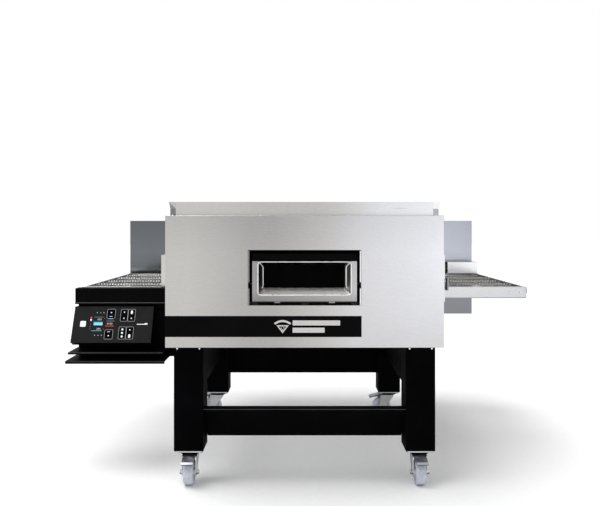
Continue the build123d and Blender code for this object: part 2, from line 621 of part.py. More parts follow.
with BuildPart() as console_housing:
    outline = (
        INNER_TOP,
        (BEAM_DEPTHS[1], INNER_TOP[1]),
        (BEAM_DEPTHS[1], HOUSING_BOTTOM),
        (INNER_BOTTOM[0] + 16, HOUSING_BOTTOM),
        INNER_BOTTOM,
    )
    extrude(section(HOUSING_X[0], outline), amount=HOUSING_X[1] - HOUSING_X[0])
    room = (
        (INNER_TOP[0] - 20, INNER_TOP[1] - HOUSING_WALL),
        (WEB_DEPTHS[0], INNER_TOP[1] - HOUSING_WALL),
        (WEB_DEPTHS[0], HOUSING_BOTTOM + HOUSING_WALL),
        (INNER_BOTTOM[0] + 17, HOUSING_BOTTOM + HOUSING_WALL),
        (INNER_BOTTOM[0] + 4, INNER_BOTTOM[1] + 2),
        (INNER_BOTTOM[0] - 20, INNER_BOTTOM[1] + 2),
    )
    room_length = HOUSING_X[1] - HOUSING_X[0] - 2 * HOUSING_WALL
    extrude(section(HOUSING_X[0] + HOUSING_WALL, room), amount=room_length, mode=Mode.SUBTRACT)
    block((HOUSING_X[0], BEAM_END), WEB_DEPTHS, (PLATE_BOTTOM, BEAM_Z[0]))
    block((-676, -610), (WEB_DEPTHS[0] - 14, WEB_DEPTHS[0]), (628, 668))
save(console_housing, "console_housing")

with BuildPart() as console_plates:
    for right, front, top, lip in ((-620, 253, 497, 9), (-608, 221, 466, 12)):
        block((CONSOLE_X[0], right), (front, WEB_DEPTHS[0]), (top - 3, top))
        block((CONSOLE_X[0], right), (front, front + 3), (top - lip, top - 3))
save(console_plates, "console_plates")

# ---------------------------------------------------------------- viewing door
with BuildPart() as door_panel:
    block((-DOOR_HALF, DOOR_HALF), DOOR_DEPTHS, DOOR_Z)
    fillet(front_edges(door_panel), 2.5)
    for depth, rim in ((DOOR_DEPTHS[0], RECESS_OUTER), (DOOR_DEPTHS[1], RECESS_INNER)):
        with BuildSketch(front_plane(depth, rim[0], rim[1])):
            RectangleRounded(*rim[2:])
    loft(mode=Mode.SUBTRACT)
    block((-192, 192), (DOOR_DEPTHS[1], DOOR_BOX_BACK), (768, 912))
    block((-180, 180), (DOOR_DEPTHS[1], DOOR_BOX_BACK + 1), (780, 904), mode=Mode.SUBTRACT)
    for x in DOOR_KNUCKLES:
        knuckle_x = (x - KNUCKLE_HALF, x + KNUCKLE_HALF)
        knuckle_depths = (HINGE_DEPTH - KNUCKLE_RADIUS, HINGE_DEPTH + KNUCKLE_RADIUS)
        block(knuckle_x, knuckle_depths, (HINGE_Z, DOOR_Z[0]))
        rod_x(knuckle_x, HINGE_DEPTH, HINGE_Z, KNUCKLE_RADIUS)
        rod_x(knuckle_x, HINGE_DEPTH, HINGE_Z, HINGE_PIN_RADIUS + FIT, mode=Mode.SUBTRACT)
    for side in (-1, 1):
        rod_x((side * DOOR_HALF, side * (WINDOW_HALF - 3)), 20, CATCH_Z, 3.5)
save(door_panel, "door_panel")

with BuildPart() as door_glass:
    block((-172, 172), (DOOR_DEPTHS[1], DOOR_DEPTHS[1] + 4), (792, 902))
    block((-180, 180), (DOOR_BOX_BACK - 6, DOOR_BOX_BACK - 2), (780, 904))
save(door_glass, "door_glass")

with BuildPart() as door_handle:
    block((-DOOR_HALF, DOOR_HALF), HANDLE_DEPTHS, HANDLE_Z)
    fillet(front_edges(door_handle), 4)
    block((-190, 190), (HANDLE_DEPTHS[0] + 8, HANDLE_DEPTHS[1] + 1), (922, 937), mode=Mode.SUBTRACT)
save(door_handle, "door_handle")

with BuildPart() as door_hinge:
    rod_x((-WINDOW_HALF, WINDOW_HALF), HINGE_DEPTH, HINGE_Z, HINGE_PIN_RADIUS)
    for x in BODY_KNUCKLES:
        knuckle_x = (x - KNUCKLE_HALF, x + KNUCKLE_HALF)
        rod_x(knuckle_x, HINGE_DEPTH, HINGE_Z, KNUCKLE_RADIUS)
        block(knuckle_x, (HINGE_DEPTH - 1, HINGE_DEPTH + 3), (WINDOW_Z[0], HINGE_Z))
save(door_hinge, "door_hinge")

# ---------------------------------------------------------------- stand
with BuildPart() as stand_legs:
    for x in (-LEG_X, LEG_X):
        for depth in LEG_DEPTHS:
            half = LEG / 2
            block((x - half, x + half), (depth - half, depth + half), (CASTER_HEIGHT, BODY_Z[0]))
    fillet(stand_legs.edges().filter_by(Axis.Z), 5)
    for x in (-LEG_X, LEG_X):
        for depth in LEG_DEPTHS:
            half = LEG / 2 - LEG_WALL
            bore = (CASTER_HEIGHT + 5, BODY_Z[0] + 1)
            block((x - half, x + half), (depth - half, depth + half), bore, mode=Mode.SUBTRACT)
save(stand_legs, "stand_legs")

INNER_LEG = LEG_X - LEG / 2
# Bent front beam: a flat top flange with a small rear lip, then a sheet that slopes down and back.
FRONT_BEAM = (
    (80, 300),
    (80, 312),
    (30, 312),
    (155, 165),
    (157.3, 167),
    (36.5, 309),
    (77, 309),
    (77, 300),
)
SIDE_BEAM_HALF = 20
SIDE_BEAM_Z = (340, 500)
with BuildPart() as stand_beams:
    extrude(section(-INNER_LEG, FRONT_BEAM), amount=2 * INNER_LEG)
    block((-INNER_LEG, INNER_LEG), (970, 1010), (242, 400))
    room_depths = (970 + BEAM_SHEET, 1010 - BEAM_SHEET)
    room_z = (242 + BEAM_SHEET, 400 - BEAM_SHEET)
    block((-INNER_LEG - 1, INNER_LEG + 1), room_depths, room_z, mode=Mode.SUBTRACT)
    for x in (-LEG_X, LEG_X):
        beam_depths = (LEG_DEPTHS[0] + LEG / 2, LEG_DEPTHS[1] - LEG / 2)
        block((x - SIDE_BEAM_HALF, x + SIDE_BEAM_HALF), beam_depths, SIDE_BEAM_Z)
        room_half = SIDE_BEAM_HALF - BEAM_SHEET
        room_depths = (beam_depths[0] - 1, beam_depths[1] + 1)
        room_z = (SIDE_BEAM_Z[0] + BEAM_SHEET, SIDE_BEAM_Z[1] - BEAM_SHEET)
        block((x - room_half, x + room_half), room_depths, room_z, mode=Mode.SUBTRACT)
save(stand_beams, "stand_beams")

# ---------------------------------------------------------------- casters
# One caster is drawn with its swivel axis on Z, trailing towards -Y, and then set under each leg.
RING_Z = (130, CASTER_HEIGHT - PLATE_THICK)
YOKE_Z = (112, 118)
RACE_TOP = RING_Z[0] - GAP
with BuildPart() as plate_master:
    with Locations((0, 0, CASTER_HEIGHT - PLATE_THICK / 2)):
        Box(PLATE_SIZE, PLATE_SIZE, PLATE_THICK)
    fillet(plate_master.edges().filter_by(Axis.Z), 8)
    with BuildSketch(Plane.XY.offset(RING_Z[0])):
        Circle(RING_RADIUS)
    extrude(amount=RING_Z[1] - RING_Z[0])
    with BuildSketch(Plane.XY.offset(RING_Z[1])):
        with GridLocations(88, 88, 2, 2):
            RegularPolygon(7, 6)
    extrude(amount=-5)
    with BuildSketch(Plane.XY.offset(YOKE_Z[0] - GAP)):
        Circle(KINGPIN_RADIUS)
    extrude(amount=RING_Z[0] - YOKE_Z[0] + GAP)
    with BuildSketch(Plane.XY.offset(YOKE_Z[0] - GAP)):
        RegularPolygon(10, 6)
    extrude(amount=-6)

with BuildPart() as fork_master:
    with BuildSketch(Plane.XY.offset(YOKE_Z[0])):
        Rectangle(2 * CHEEK_X[1], 56)
    extrude(amount=YOKE_Z[1] - YOKE_Z[0])
    with BuildSketch(Plane.XY.offset(YOKE_Z[1])):
        Circle(34)
    extrude(amount=RACE_TOP - YOKE_Z[1])
    fillet(fork_master.faces().sort_by(Axis.Z)[-1].edges(), 3)
    for side in (-1, 1):
        with BuildSketch(Plane.YZ.offset(side * CHEEK_X[0])):
            with Locations((-TRAIL, WHEEL_RADIUS)):
                Circle(14)
            with Locations((-9, 114)):
                Rectangle(70, 8)
            make_hull()
        extrude(amount=side * (CHEEK_X[1] - CHEEK_X[0]))
    with Locations((0, 0, (YOKE_Z[0] + RACE_TOP) / 2)):
        Cylinder(KINGPIN_RADIUS + FIT, RACE_TOP - YOKE_Z[0] + 1, mode=Mode.SUBTRACT)
    with Locations(Location((0, -TRAIL, WHEEL_RADIUS), (0, 90, 0))):
        Cylinder(AXLE_RADIUS, 2 * CHEEK_X[1])
    for side in (-1, 1):
        with BuildSketch(Plane.YZ.offset(side * CHEEK_X[1])):
            with Locations((-TRAIL, WHEEL_RADIUS)):
                RegularPolygon(9, 6)
        extrude(amount=side * 9)
    with Locations(Location((0, *PEDAL_PIVOT), (0, 90, 0))):
        Cylinder(PEDAL_PIN_RADIUS, 2 * CHEEK_X[1] + 4)

with BuildPart() as wheel_master:
    with BuildSketch(Plane.XZ.offset(TRAIL)):
        with BuildLine():
            half = WHEEL_WIDTH / 2
            Polyline(
                (-HUB_WIDTH / 2, WHEEL_RADIUS + AXLE_RADIUS + FIT),
                (-HUB_WIDTH / 2, WHEEL_RADIUS + 14),
                (-half + 6, WHEEL_RADIUS + 16),
                (-half + 6, WHEEL_RADIUS + 34),
                (-half, WHEEL_RADIUS + 37),
                (-half, 2 * WHEEL_RADIUS - 5),
            )
            Line((-half, 2 * WHEEL_RADIUS - 5), (-half + 5, 2 * WHEEL_RADIUS))
            Line((-half + 5, 2 * WHEEL_RADIUS), (0, 2 * WHEEL_RADIUS))
            mirror(about=Plane.YZ)
            bore_z = WHEEL_RADIUS + AXLE_RADIUS + FIT
            Line((-HUB_WIDTH / 2, bore_z), (HUB_WIDTH / 2, bore_z))
        make_face()
    revolve(axis=Axis((0, -TRAIL, WHEEL_RADIUS), (1, 0, 0)))

PEDAL_HALF = 24
PEDAL_TIP = -LEG_DEPTHS[0] - PEDAL_OVERHANG
with BuildPart() as pedal_master:
    with BuildSketch(Plane.YZ.offset(-PEDAL_HALF)):
        with BuildLine():
            Polyline(
                (-31, 109),
                (-31, 117),
                (-35, 117.4),
                (-37, 119),
                (-52, 120),
                (-95, 110),
                (PEDAL_TIP, 104),
                (PEDAL_TIP, 100.5),
                (-98, 101),
                (-88, 106),
                (-58, 109),
                (-56, 100.5),
                (-47, 102.5),
                (-45, 109),
                close=True,
            )
        make_face()
    extrude(amount=2 * PEDAL_HALF)
    fillet(pedal_master.edges().filter_by(Axis.X).group_by(Axis.Y)[0], 1)
    with Locations(Location((0, *PEDAL_PIVOT), (0, 90, 0))):
        Cylinder(PEDAL_PIN_RADIUS + FIT, 3 * PEDAL_HALF, mode=Mode.SUBTRACT)


def set_under_leg(master, caster):
    """A copy of a caster piece, turned and moved to its place under a leg."""
    x, depth, turn = CASTERS[caster]
    with BuildPart() as placed:
        with Locations(Location((x, at_depth(depth), 0), (0, 0, turn))):
            add(master.part)
    return placed


with BuildPart() as caster_plates:
    for x, depth, turn in CASTERS.values():
        with Locations(Location((x, at_depth(depth), 0), (0, 0, turn))):
            add(plate_master.part)
save(caster_plates, "caster_plates")
for caster in CASTERS:
    save(set_under_leg(fork_master, caster), f"caster_fork_{caster}")
    save(set_under_leg(wheel_master, caster), f"caster_wheel_{caster}")
    save(set_under_leg(pedal_master, caster), f"caster_pedal_{caster}")

# ---------------------------------------------------------------- fasteners
HEAD = (5, 3)  # radius and height of a panel screw's head
with BuildPart() as fasteners:
    for x in (-LEG_X, LEG_X):
        for offset in (-45, 45):
            rod(x + offset, (26, 30), 558, 4.5)
            rod(x + offset, (1059, 1063), 558, 4.5)
    for x in (959, 1009):
        rod(x, (RAIL_DEPTHS[0] - HEAD[1], RAIL_DEPTHS[0]), 744, HEAD[0])
        rod(x, (REAR_RAIL_DEPTHS[1], REAR_RAIL_DEPTHS[1] + HEAD[1]), 728, HEAD[0])
    for z in (580, 1083):
        for x in (-540, -360, -180, 0, 180, 360, 540):
            rod(x, (BODY_DEPTH, BODY_DEPTH + HEAD[1]), z, HEAD[0])
    for side in (-1, 1):
        for z in (740, 923):
            rod(side * 540, (BODY_DEPTH, BODY_DEPTH + HEAD[1]), z, HEAD[0])
        head_x = (side * BODY_HALF, side * (BODY_HALF + HEAD[1]))
        for depth in (60, 260, 720, 1180, 1380):
            for z in (585, 1078):
                rod_x(head_x, depth, z, HEAD[0])
        for depth in (60, 1380):
            for z in (750, 915):
                rod_x(head_x, depth, z, HEAD[0])
        for depth in (450, 640, 825, 1010, 1200):
            flange_x = (side * (BODY_HALF + SHEET), side * (BODY_HALF + SHEET + HEAD[1]))
            rod_x(flange_x, depth, 926, 3.5)
    for x in (-540, -180, 180, 540):
        with Locations((x, at_depth(60), BODY_Z[1] + 1.5)):
            Cylinder(HEAD[0], HEAD[1])
save(fasteners, "fasteners")
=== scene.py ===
"""Looks of the conveyor pizza oven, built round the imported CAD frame. Metres, +Z up."""

import json
from math import atan2, cos, hypot, pi, sin

import bmesh
import bpy
import numpy as np
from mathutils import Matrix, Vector


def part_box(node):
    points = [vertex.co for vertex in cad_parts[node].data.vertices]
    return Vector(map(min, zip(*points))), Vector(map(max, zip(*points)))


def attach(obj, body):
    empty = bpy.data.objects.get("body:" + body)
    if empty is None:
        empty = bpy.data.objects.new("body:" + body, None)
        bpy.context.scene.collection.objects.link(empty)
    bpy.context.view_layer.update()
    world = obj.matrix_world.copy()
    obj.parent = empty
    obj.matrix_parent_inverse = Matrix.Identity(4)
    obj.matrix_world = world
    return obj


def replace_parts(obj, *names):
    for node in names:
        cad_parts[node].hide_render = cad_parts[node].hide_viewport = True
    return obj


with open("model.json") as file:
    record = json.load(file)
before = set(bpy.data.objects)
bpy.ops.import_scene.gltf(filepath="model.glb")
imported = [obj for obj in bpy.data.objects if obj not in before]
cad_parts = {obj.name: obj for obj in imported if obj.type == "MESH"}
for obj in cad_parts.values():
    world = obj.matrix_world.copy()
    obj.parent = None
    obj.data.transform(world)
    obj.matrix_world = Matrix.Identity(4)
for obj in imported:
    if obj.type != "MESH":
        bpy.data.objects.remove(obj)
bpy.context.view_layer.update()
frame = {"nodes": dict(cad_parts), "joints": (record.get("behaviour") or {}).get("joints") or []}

MM = 0.001
X_AXIS = Vector((1, 0, 0))
Y_AXIS = Vector((0, 1, 0))


# -------- finishes
class Finish:
    """A procedural material, built up round one Principled shader."""

    def __init__(self, name, colour, roughness, metallic=0.0, specular=0.5):
        self.material = bpy.data.materials.new(name)
        self.material.use_nodes = True
        self.tree = self.material.node_tree
        self.shader = self.tree.nodes["Principled BSDF"]
        self.base = colour
        self.set("Base Color", (*colour, 1))
        self.set("Roughness", roughness)
        self.set("Metallic", metallic)
        self.set("Specular IOR Level", specular)

    def set(self, socket, value):
        self.shader.inputs[socket].default_value = value

    def node(self, kind, **inputs):
        """A new node; each input is set to a value, or linked where it is given a socket."""
        made = self.tree.nodes.new(kind)
        for name, value in inputs.items():
            socket = made.inputs[name.replace("_", " ")]
            if isinstance(value, bpy.types.NodeSocket):
                self.tree.links.new(value, socket)
            else:
                socket.default_value = value
        return made

    def noise(self, scale, stretch=(1, 1, 1), detail=3.0):
        """Noise in the object's own coordinates, drawn out along the axes with a small stretch."""
        place = self.node("ShaderNodeTexCoord").outputs["Object"]
        mapped = self.node("ShaderNodeMapping", Vector=place, Scale=stretch)
        vector = mapped.outputs["Vector"]
        made = self.node("ShaderNodeTexNoise", Vector=vector, Scale=scale, Detail=detail)
        return made.outputs["Fac"]

    def ramp(self, factor, low, high, start=0.35, end=0.65):
        """Blend from low to high as the factor runs from start to end; numbers or colours."""
        if isinstance(low, (int, float)):
            made = self.node("ShaderNodeMapRange", Value=factor)
            for socket, value in zip(range(1, 5), (start, end, low, high)):
                made.inputs[socket].default_value = value
            return made.outputs["Result"]
        made = self.node("ShaderNodeValToRGB", Fac=factor)
        made.color_ramp.elements[0].position = start
        made.color_ramp.elements[1].position = end
        made.color_ramp.elements[0].color = (*low, 1)
        made.color_ramp.elements[1].color = (*high, 1)
        return made.outputs["Color"]

    def mix(self, factor, first, second, blend="MIX"):
        """One colour over another, by a factor."""
        made = self.tree.nodes.new("ShaderNodeMix")
        made.data_type = "RGBA"
        made.blend_type = blend
        for socket, value in ((0, factor), (6, first), (7, second)):
            if isinstance(value, bpy.types.NodeSocket):
                self.tree.links.new(value, made.inputs[socket])
            else:
                made.inputs[socket].default_value = value
        return made.outputs[2]

    def link(self, value, socket):
        self.tree.links.new(value, self.shader.inputs[socket])

    def along(self, axis, start, end):
        """A mask that rises from 0 to 1 between two places along an axis of the object."""
        place = self.node("ShaderNodeTexCoord").outputs["Object"]
        split = self.node("ShaderNodeSeparateXYZ", Vector=place)
        return self.ramp(split.outputs[axis], 0.0, 1.0, start, end)

    def facing(self, direction, start, end):
        """A mask that rises from 0 to 1 as the surface turns towards a direction."""
        product = self.tree.nodes.new("ShaderNodeVectorMath")
        product.operation = "DOT_PRODUCT"
        normal = self.node("ShaderNodeNewGeometry").outputs["True Normal"]
        self.tree.links.new(normal, product.inputs[0])
        product.inputs[1].default_value = direction
        return self.ramp(product.outputs["Value"], 0.0, 1.0, start, end)

    def tone(self, mask, gain):
        """Multiply the base colour by a gain where a mask is 1."""
        below = self.shader.inputs["Base Color"].links[0].from_socket
        self.link(self.mix(mask, below, (*gain, 1), "MULTIPLY"), "Base Color")

    def toned(self, *rows):
        """The same finish with gains, as rows of (axis or direction, start, end, gain)."""
        for where, start, end, gain in rows:
            mask = self.along if isinstance(where, str) else self.facing
            self.tone(mask(where, start, end), gain)
        return self

    def relief(self, *layers):
        """Bumps of (height, strength, distance), one on top of another."""
        normal = None
        for height, strength, distance in layers:
            bump = self.node("ShaderNodeBump", Height=height, Strength=strength, Distance=distance)
            if normal:
                self.tree.links.new(normal, bump.inputs["Normal"])
            normal = bump.outputs["Normal"]
        self.link(normal, "Normal")


def shade(colour, amount):
    """A colour made lighter or darker by a share."""
    return tuple(min(1.0, max(0.0, c * (1 + amount))) for c in colour)


def brushed(name, along, colour=(0.6, 0.583, 0.566), roughness=0.25, streaks=0.004):
    """Satin stainless sheet whose fine grain runs along one axis, 0 for X, 1 for Y or 2 for Z."""
    finish = Finish(name, colour, roughness, metallic=1.0)
    stretch = [1.0, 1.0, 1.0]
    stretch[along] = 0.02
    grain = finish.noise(900, stretch, 2)
    bands = finish.noise(60, stretch, 3)
    smudges = finish.noise(2.6, (1, 1, 1), 4)
    cloudy = finish.ramp(smudges, shade(colour, -0.03), shade(colour, 0.03))
    banded = finish.ramp(bands, shade(colour, -streaks), shade(colour, streaks), 0.25, 0.75)
    finish.link(finish.mix(0.5, cloudy, banded), "Base Color")
    speckle = finish.noise(420, (1, 1, 1), 1)
    finish.tone(finish.ramp(speckle, 0.0, 1.0, 0.3, 0.7), (0.95, 0.95, 0.95))
    finish.link(finish.ramp(grain, roughness - 0.03, roughness + 0.03), "Roughness")
    finish.relief((grain, 0.015, 0.0002))
    return finish


def aluminised(name, colour=(0.5, 0.51, 0.52), roughness=0.42):
    """Plain coated sheet with a faint crystal pattern and dull patches."""
    finish = Finish(name, colour, roughness, metallic=1.0)
    place = finish.node("ShaderNodeTexCoord").outputs["Object"]
    crystals = finish.node("ShaderNodeTexVoronoi", Vector=place, Scale=140.0).outputs["Color"]
    patches = finish.noise(5, (1, 1, 1), 4)
    toned = finish.ramp(patches, shade(colour, -0.12), shade(colour, 0.08))
    finish.link(finish.mix(0.06, toned, crystals), "Base Color")
    finish.link(finish.ramp(patches, roughness - 0.08, roughness + 0.1), "Roughness")
    finish.relief((finish.noise(220), 0.08, 0.0004))
    return finish


def powder_coat(name, colour=(0.0016, 0.0016, 0.002), roughness=0.5, specular=0.03):
    """Satin black powder coat: a fine orange peel, with dust in faint patches."""
    finish = Finish(name, colour, roughness, specular=specular)
    dust = finish.noise(7, (1, 1, 1), 5)
    dusty = finish.ramp(dust, shade(colour, -0.25), shade(colour, 0.55), 0.4, 0.8)
    finish.link(dusty, "Base Color")
    finish.link(finish.ramp(dust, roughness - 0.06, roughness + 0.08), "Roughness")
    finish.relief((finish.noise(650, (1, 1, 1), 1), 0.16, 0.0003))
    return finish


def moulded(name, colour, roughness, specular=0.3, grain=0.2):
    """Moulded plastic with a fine spark-eroded grain and slight tone changes."""
    finish = Finish(name, colour, roughness, specular=specular)
    tone = finish.noise(18, (1, 1, 1), 3)
    finish.link(finish.ramp(tone, shade(colour, -0.08), shade(colour, 0.08)), "Base Color")
    finish.link(finish.ramp(tone, roughness - 0.04, roughness + 0.05), "Roughness")
    finish.relief((finish.noise(1500, (1, 1, 1), 1), grain, 0.0002))
    return finish


def plated(name, colour=(0.62, 0.63, 0.65), roughness=0.22):
    """Bright zinc plate: polished pressings with rubbed patches and hairline scratches."""
    finish = Finish(name, colour, roughness, metallic=1.0)
    patches = finish.noise(40, (1, 1, 1), 4)
    scratches = finish.noise(300, (1, 0.03, 1), 2)
    warm = (colour[0], colour[1] * 0.985, colour[2] * 0.94)
    finish.link(finish.ramp(patches, shade(colour, -0.15), warm), "Base Color")
    finish.link(finish.ramp(patches, roughness - 0.07, roughness + 0.12), "Roughness")
    finish.relief((patches, 0.1, 0.0006), (scratches, 0.06, 0.0002))
    return finish


def wire_steel():
    """Drawn stainless wire, a little browned by heat."""
    colour = (0.97, 0.96, 0.95)
    finish = Finish("belt_wire", colour, 0.3, metallic=1.0)
    tint = finish.noise(9, (1, 1, 1), 4)
    finish.link(finish.ramp(tint, shade(colour, -0.2), colour), "Base Color")
    finish.toned(
        ("Z", 0.7645, 0.7637, (0.4, 0.39, 0.385)),  # low spans, in the shade of the loops
        # painted shade, darker towards the right
        ("X", -0.3, 0.4, (0.78, 0.77, 0.76)),
    )
    finish.link(finish.ramp(tint, 0.36, 0.24), "Roughness")
    finish.relief((finish.noise(700, (0.05, 1, 1), 1), 0.1, 0.0002))
    return finish


def mineral_wool():
    """Yellowish felted fibres."""
    colour = (0.6, 0.53, 0.36)
    finish = Finish("mineral_wool", colour, 0.95, specular=0.1)
    fibres = finish.noise(240, (1, 0.15, 0.3), 5)
    tufted = finish.ramp(fibres, shade(colour, -0.35), shade(colour, 0.2), 0.3, 0.7)
    finish.link(tufted, "Base Color")
    finish.relief((fibres, 0.9, 0.004), (finish.noise(25), 0.5, 0.01))
    return finish


def oxidised():
    """Heater sheath, dulled and browned by its own heat."""
    colour = (0.1, 0.08, 0.07)
    finish = Finish("heater_sheath", colour, 0.55, metallic=0.7)
    scale = finish.noise(120, (1, 1, 1), 4)
    finish.link(finish.ramp(scale, (0.05, 0.045, 0.045), (0.2, 0.13, 0.09)), "Base Color")
    finish.relief((scale, 0.3, 0.0005))
    return finish


def oiled_steel():
    """Dark chain steel under a film of oil."""
    colour = (0.16, 0.155, 0.15)
    finish = Finish("chain_steel", colour, 0.32, metallic=1.0)
    oil = finish.noise(160, (1, 1, 1), 3)
    finish.link(finish.ramp(oil, (0.05, 0.048, 0.045), (0.24, 0.23, 0.22)), "Base Color")
    finish.link(finish.ramp(oil, 0.2, 0.45), "Roughness")
    return finish


def dark_glass():
    """Tinted heat-resistant glass, with faint baked-on haze."""
    finish = Finish("door_glass", (0.0008, 0.0009, 0.0011), 0.1, specular=0.005)
    haze = finish.noise(14, (1, 1, 0.4), 4)
    finish.link(finish.ramp(haze, 0.04, 0.14), "Roughness")
    finish.link(finish.ramp(haze, (0.001, 0.001, 0.0012), (0.002, 0.0019, 0.0018)), "Base Color")
    return finish


def tread():
    """Pale blue-grey polyamide, scuffed where it rolls."""
    colour = (0.5, 0.53, 0.6)
    finish = Finish("wheel_polyamide", colour, 0.45, specular=0.4)
    scuffs = finish.noise(70, (1, 1, 1), 5)
    scuffed = finish.ramp(scuffs, shade(colour, -0.14), shade(colour, 0.1), 0.35, 0.6)
    finish.link(scuffed, "Base Color")
    finish.link(finish.ramp(scuffs, 0.38, 0.58), "Roughness")
    finish.relief((scuffs, 0.15, 0.0006))
    return finish


def circuit_board():
    """Green solder mask over a lattice of paler traces."""
    finish = Finish("circuit_board", (0.02, 0.12, 0.05), 0.35)
    place = finish.node("ShaderNodeTexCoord").outputs["Object"]
    bricks = finish.node("ShaderNodeTexBrick", Vector=place, Scale=90.0)
    bricks.inputs["Color1"].default_value = (0.015, 0.1, 0.045, 1)
    bricks.inputs["Color2"].default_value = (0.02, 0.13, 0.055, 1)
    bricks.inputs["Mortar"].default_value = (0.06, 0.26, 0.12, 1)
    finish.link(bricks.outputs["Color"], "Base Color")
    return finish


def lamp(name, colour, glow=0.5):
    """A lit mark on the display film: even, with a slight grain of its own."""
    finish = Finish(name, colour, 0.4, specular=0.2)
    grain = finish.noise(900, (1, 1, 1), 1)
    lit = finish.ramp(grain, shade(colour, -0.06), colour)
    finish.link(lit, "Base Color")
    finish.link(lit, "Emission Color")
    finish.set("Emission Strength", glow)
    return finish


def silvered():
    """Metallic silver ink of the marks on the stripe."""
    colour = (0.56, 0.545, 0.53)
    finish = Finish("silver_ink", colour, 0.5, metallic=0.3)
    speckle = finish.noise(1400, (1, 1, 1), 1)
    finish.link(finish.ramp(speckle, shade(colour, -0.1), shade(colour, 0.08)), "Base Color")
    return finish


# Palette. A row of toned() is (axis or direction, where it starts, where it is full, gain).
# Top and back sheet: brighter and bluer to the right, a painted reflection of the cool light
# there.
STEEL_X = brushed("steel_grain_x", 0).toned(
    ("X", 0.05, 0.32, (1.05, 1.08, 1.13)),
)
COVER_STEEL = brushed("cover_steel", 0, colour=(0.7, 0.695, 0.705))
# Front sheet: darker to the left, brighter and bluer to the right and darker low down, all painted
# reflection and shade.
FRONT_STEEL = brushed("front_steel", 0, colour=(0.55, 0.535, 0.52)).toned(
    ("X", -0.46, -0.22, (0.8, 0.8, 0.8)),
    ("X", -0.12, 0.04, (1.2, 1.2, 1.2)),
    ("X", 0.05, 0.2, (1.16, 1.18, 1.245)),
    ("Z", 0.95, 0.6, (0.84, 0.84, 0.84)),
)
RAIL_STEEL = brushed("rail_steel", 0, colour=(0.49, 0.485, 0.485)).toned(
    ("Z", 0.7215, 0.7195, (0.5, 0.55, 0.62)),  # lower edge, in painted bluish shade
)
# Collar: brighter and bluer to the right and a little brighter at the far left, painted
# reflections.
COLLAR_STEEL = brushed("collar_steel", 0).toned(
    ("X", 0.05, 0.32, (1.19, 1.22, 1.28)),
    ("X", -0.15, -0.36, (1.1, 1.1, 1.09)),
    ((-0.707, -0.707, 0), 0.8, 0.95, (0.36, 0.37, 0.38)),  # left corner bevel, in painted shade as it turns away from the light
    ((0.707, -0.707, 0), 0.8, 0.95, (0.78, 0.78, 0.79)),  # right corner bevel, in lighter painted shade
)
# Corner webs: brighter to the right as painted reflection.
WEB_STEEL = brushed("web_steel", 0, colour=(0.6, 0.59, 0.58)).toned(
    ("X", -0.1, 0.1, (1.3, 1.3, 1.34)),
    ((-0.577, -0.577, -0.577), 0.9, 0.95, (0.4, 0.41, 0.42)),  # painted shade on the foot of the left web
)
STEEL_Y = brushed("steel_grain_y", 1).toned(
    ("X", 0.6534, 0.6538, (0.03, 0.03, 0.035)),  # painted shadow strip near the right mouth's end
    ("X", 0.6635, 0.6645, (11, 12.5, 13)),  # its lip, lighter than the strip but still in painted shade
)
# Rear wings: the left wing darker and the lower part darker, as painted reflection and shade.
WING_STEEL = brushed("wing_steel", 0, (0.3, 0.306, 0.335), 0.16, streaks=0.03).toned(
    ("X", 0.1, -0.1, (0.55, 0.57, 0.56)),  # left wing, painted darker reflection
    ("Z", 0.9, 0.7, (0.62, 0.62, 0.6)),
    ("Z", 0.803, 0.797, (1.4, 1.4, 1.38)),  # painted reflections: light and dark bands low down
    ("Z", 0.786, 0.782, (0.36, 0.36, 0.38)),
    ("Z", 0.772, 0.77, (1.98, 1.98, 1.91)),
)
# Door: brighter to the right and darker low down, as painted reflection and shade.
DOOR_STEEL = brushed("door_steel", 0, colour=(0.32, 0.31, 0.303), roughness=0.2).toned(
    ("X", -0.16, 0.2, (1.4, 1.4, 1.42)),
    ("Z", 0.79, 0.75, (0.7, 0.7, 0.71)),
    ("X", -0.2122, -0.2128, (0.06, 0.06, 0.07)),  # outer edges at the sides, painted almost black as the shade in the notches there
    ("X", 0.2122, 0.2128, (0.06, 0.06, 0.07)),
    ((0, -0.55, 0.83), 0.93, 0.97, (3.1, 3.1, 3.1)),  # bottom bevel, painted highlight where it faces up
    ((0.8, -0.6, 0), 0.9, 0.97, (0.25, 0.25, 0.27)),  # side bevels: the right one in painted shade, the left one painted lighter
    ((-0.8, -0.6, 0), 0.9, 0.97, (1.3, 1.3, 1.3)),
)
HINGE_STEEL = plated("hinge_steel", (0.045, 0.045, 0.047), 0.4)
# Edges of the door opening: the right ones painted lighter, as lit from the right.
EDGE_STEEL = plated("opening_edge", (0.3, 0.3, 0.305), 0.3).toned(
    ("X", 0, 0.1, (2.9, 2.9, 2.95)),
)
# Recess beads: a real rounded rim, its colour raised above the steel's to a painted highlight.
BEAD_STEEL = plated("bead_steel", (0.92, 0.92, 0.93), 0.3)
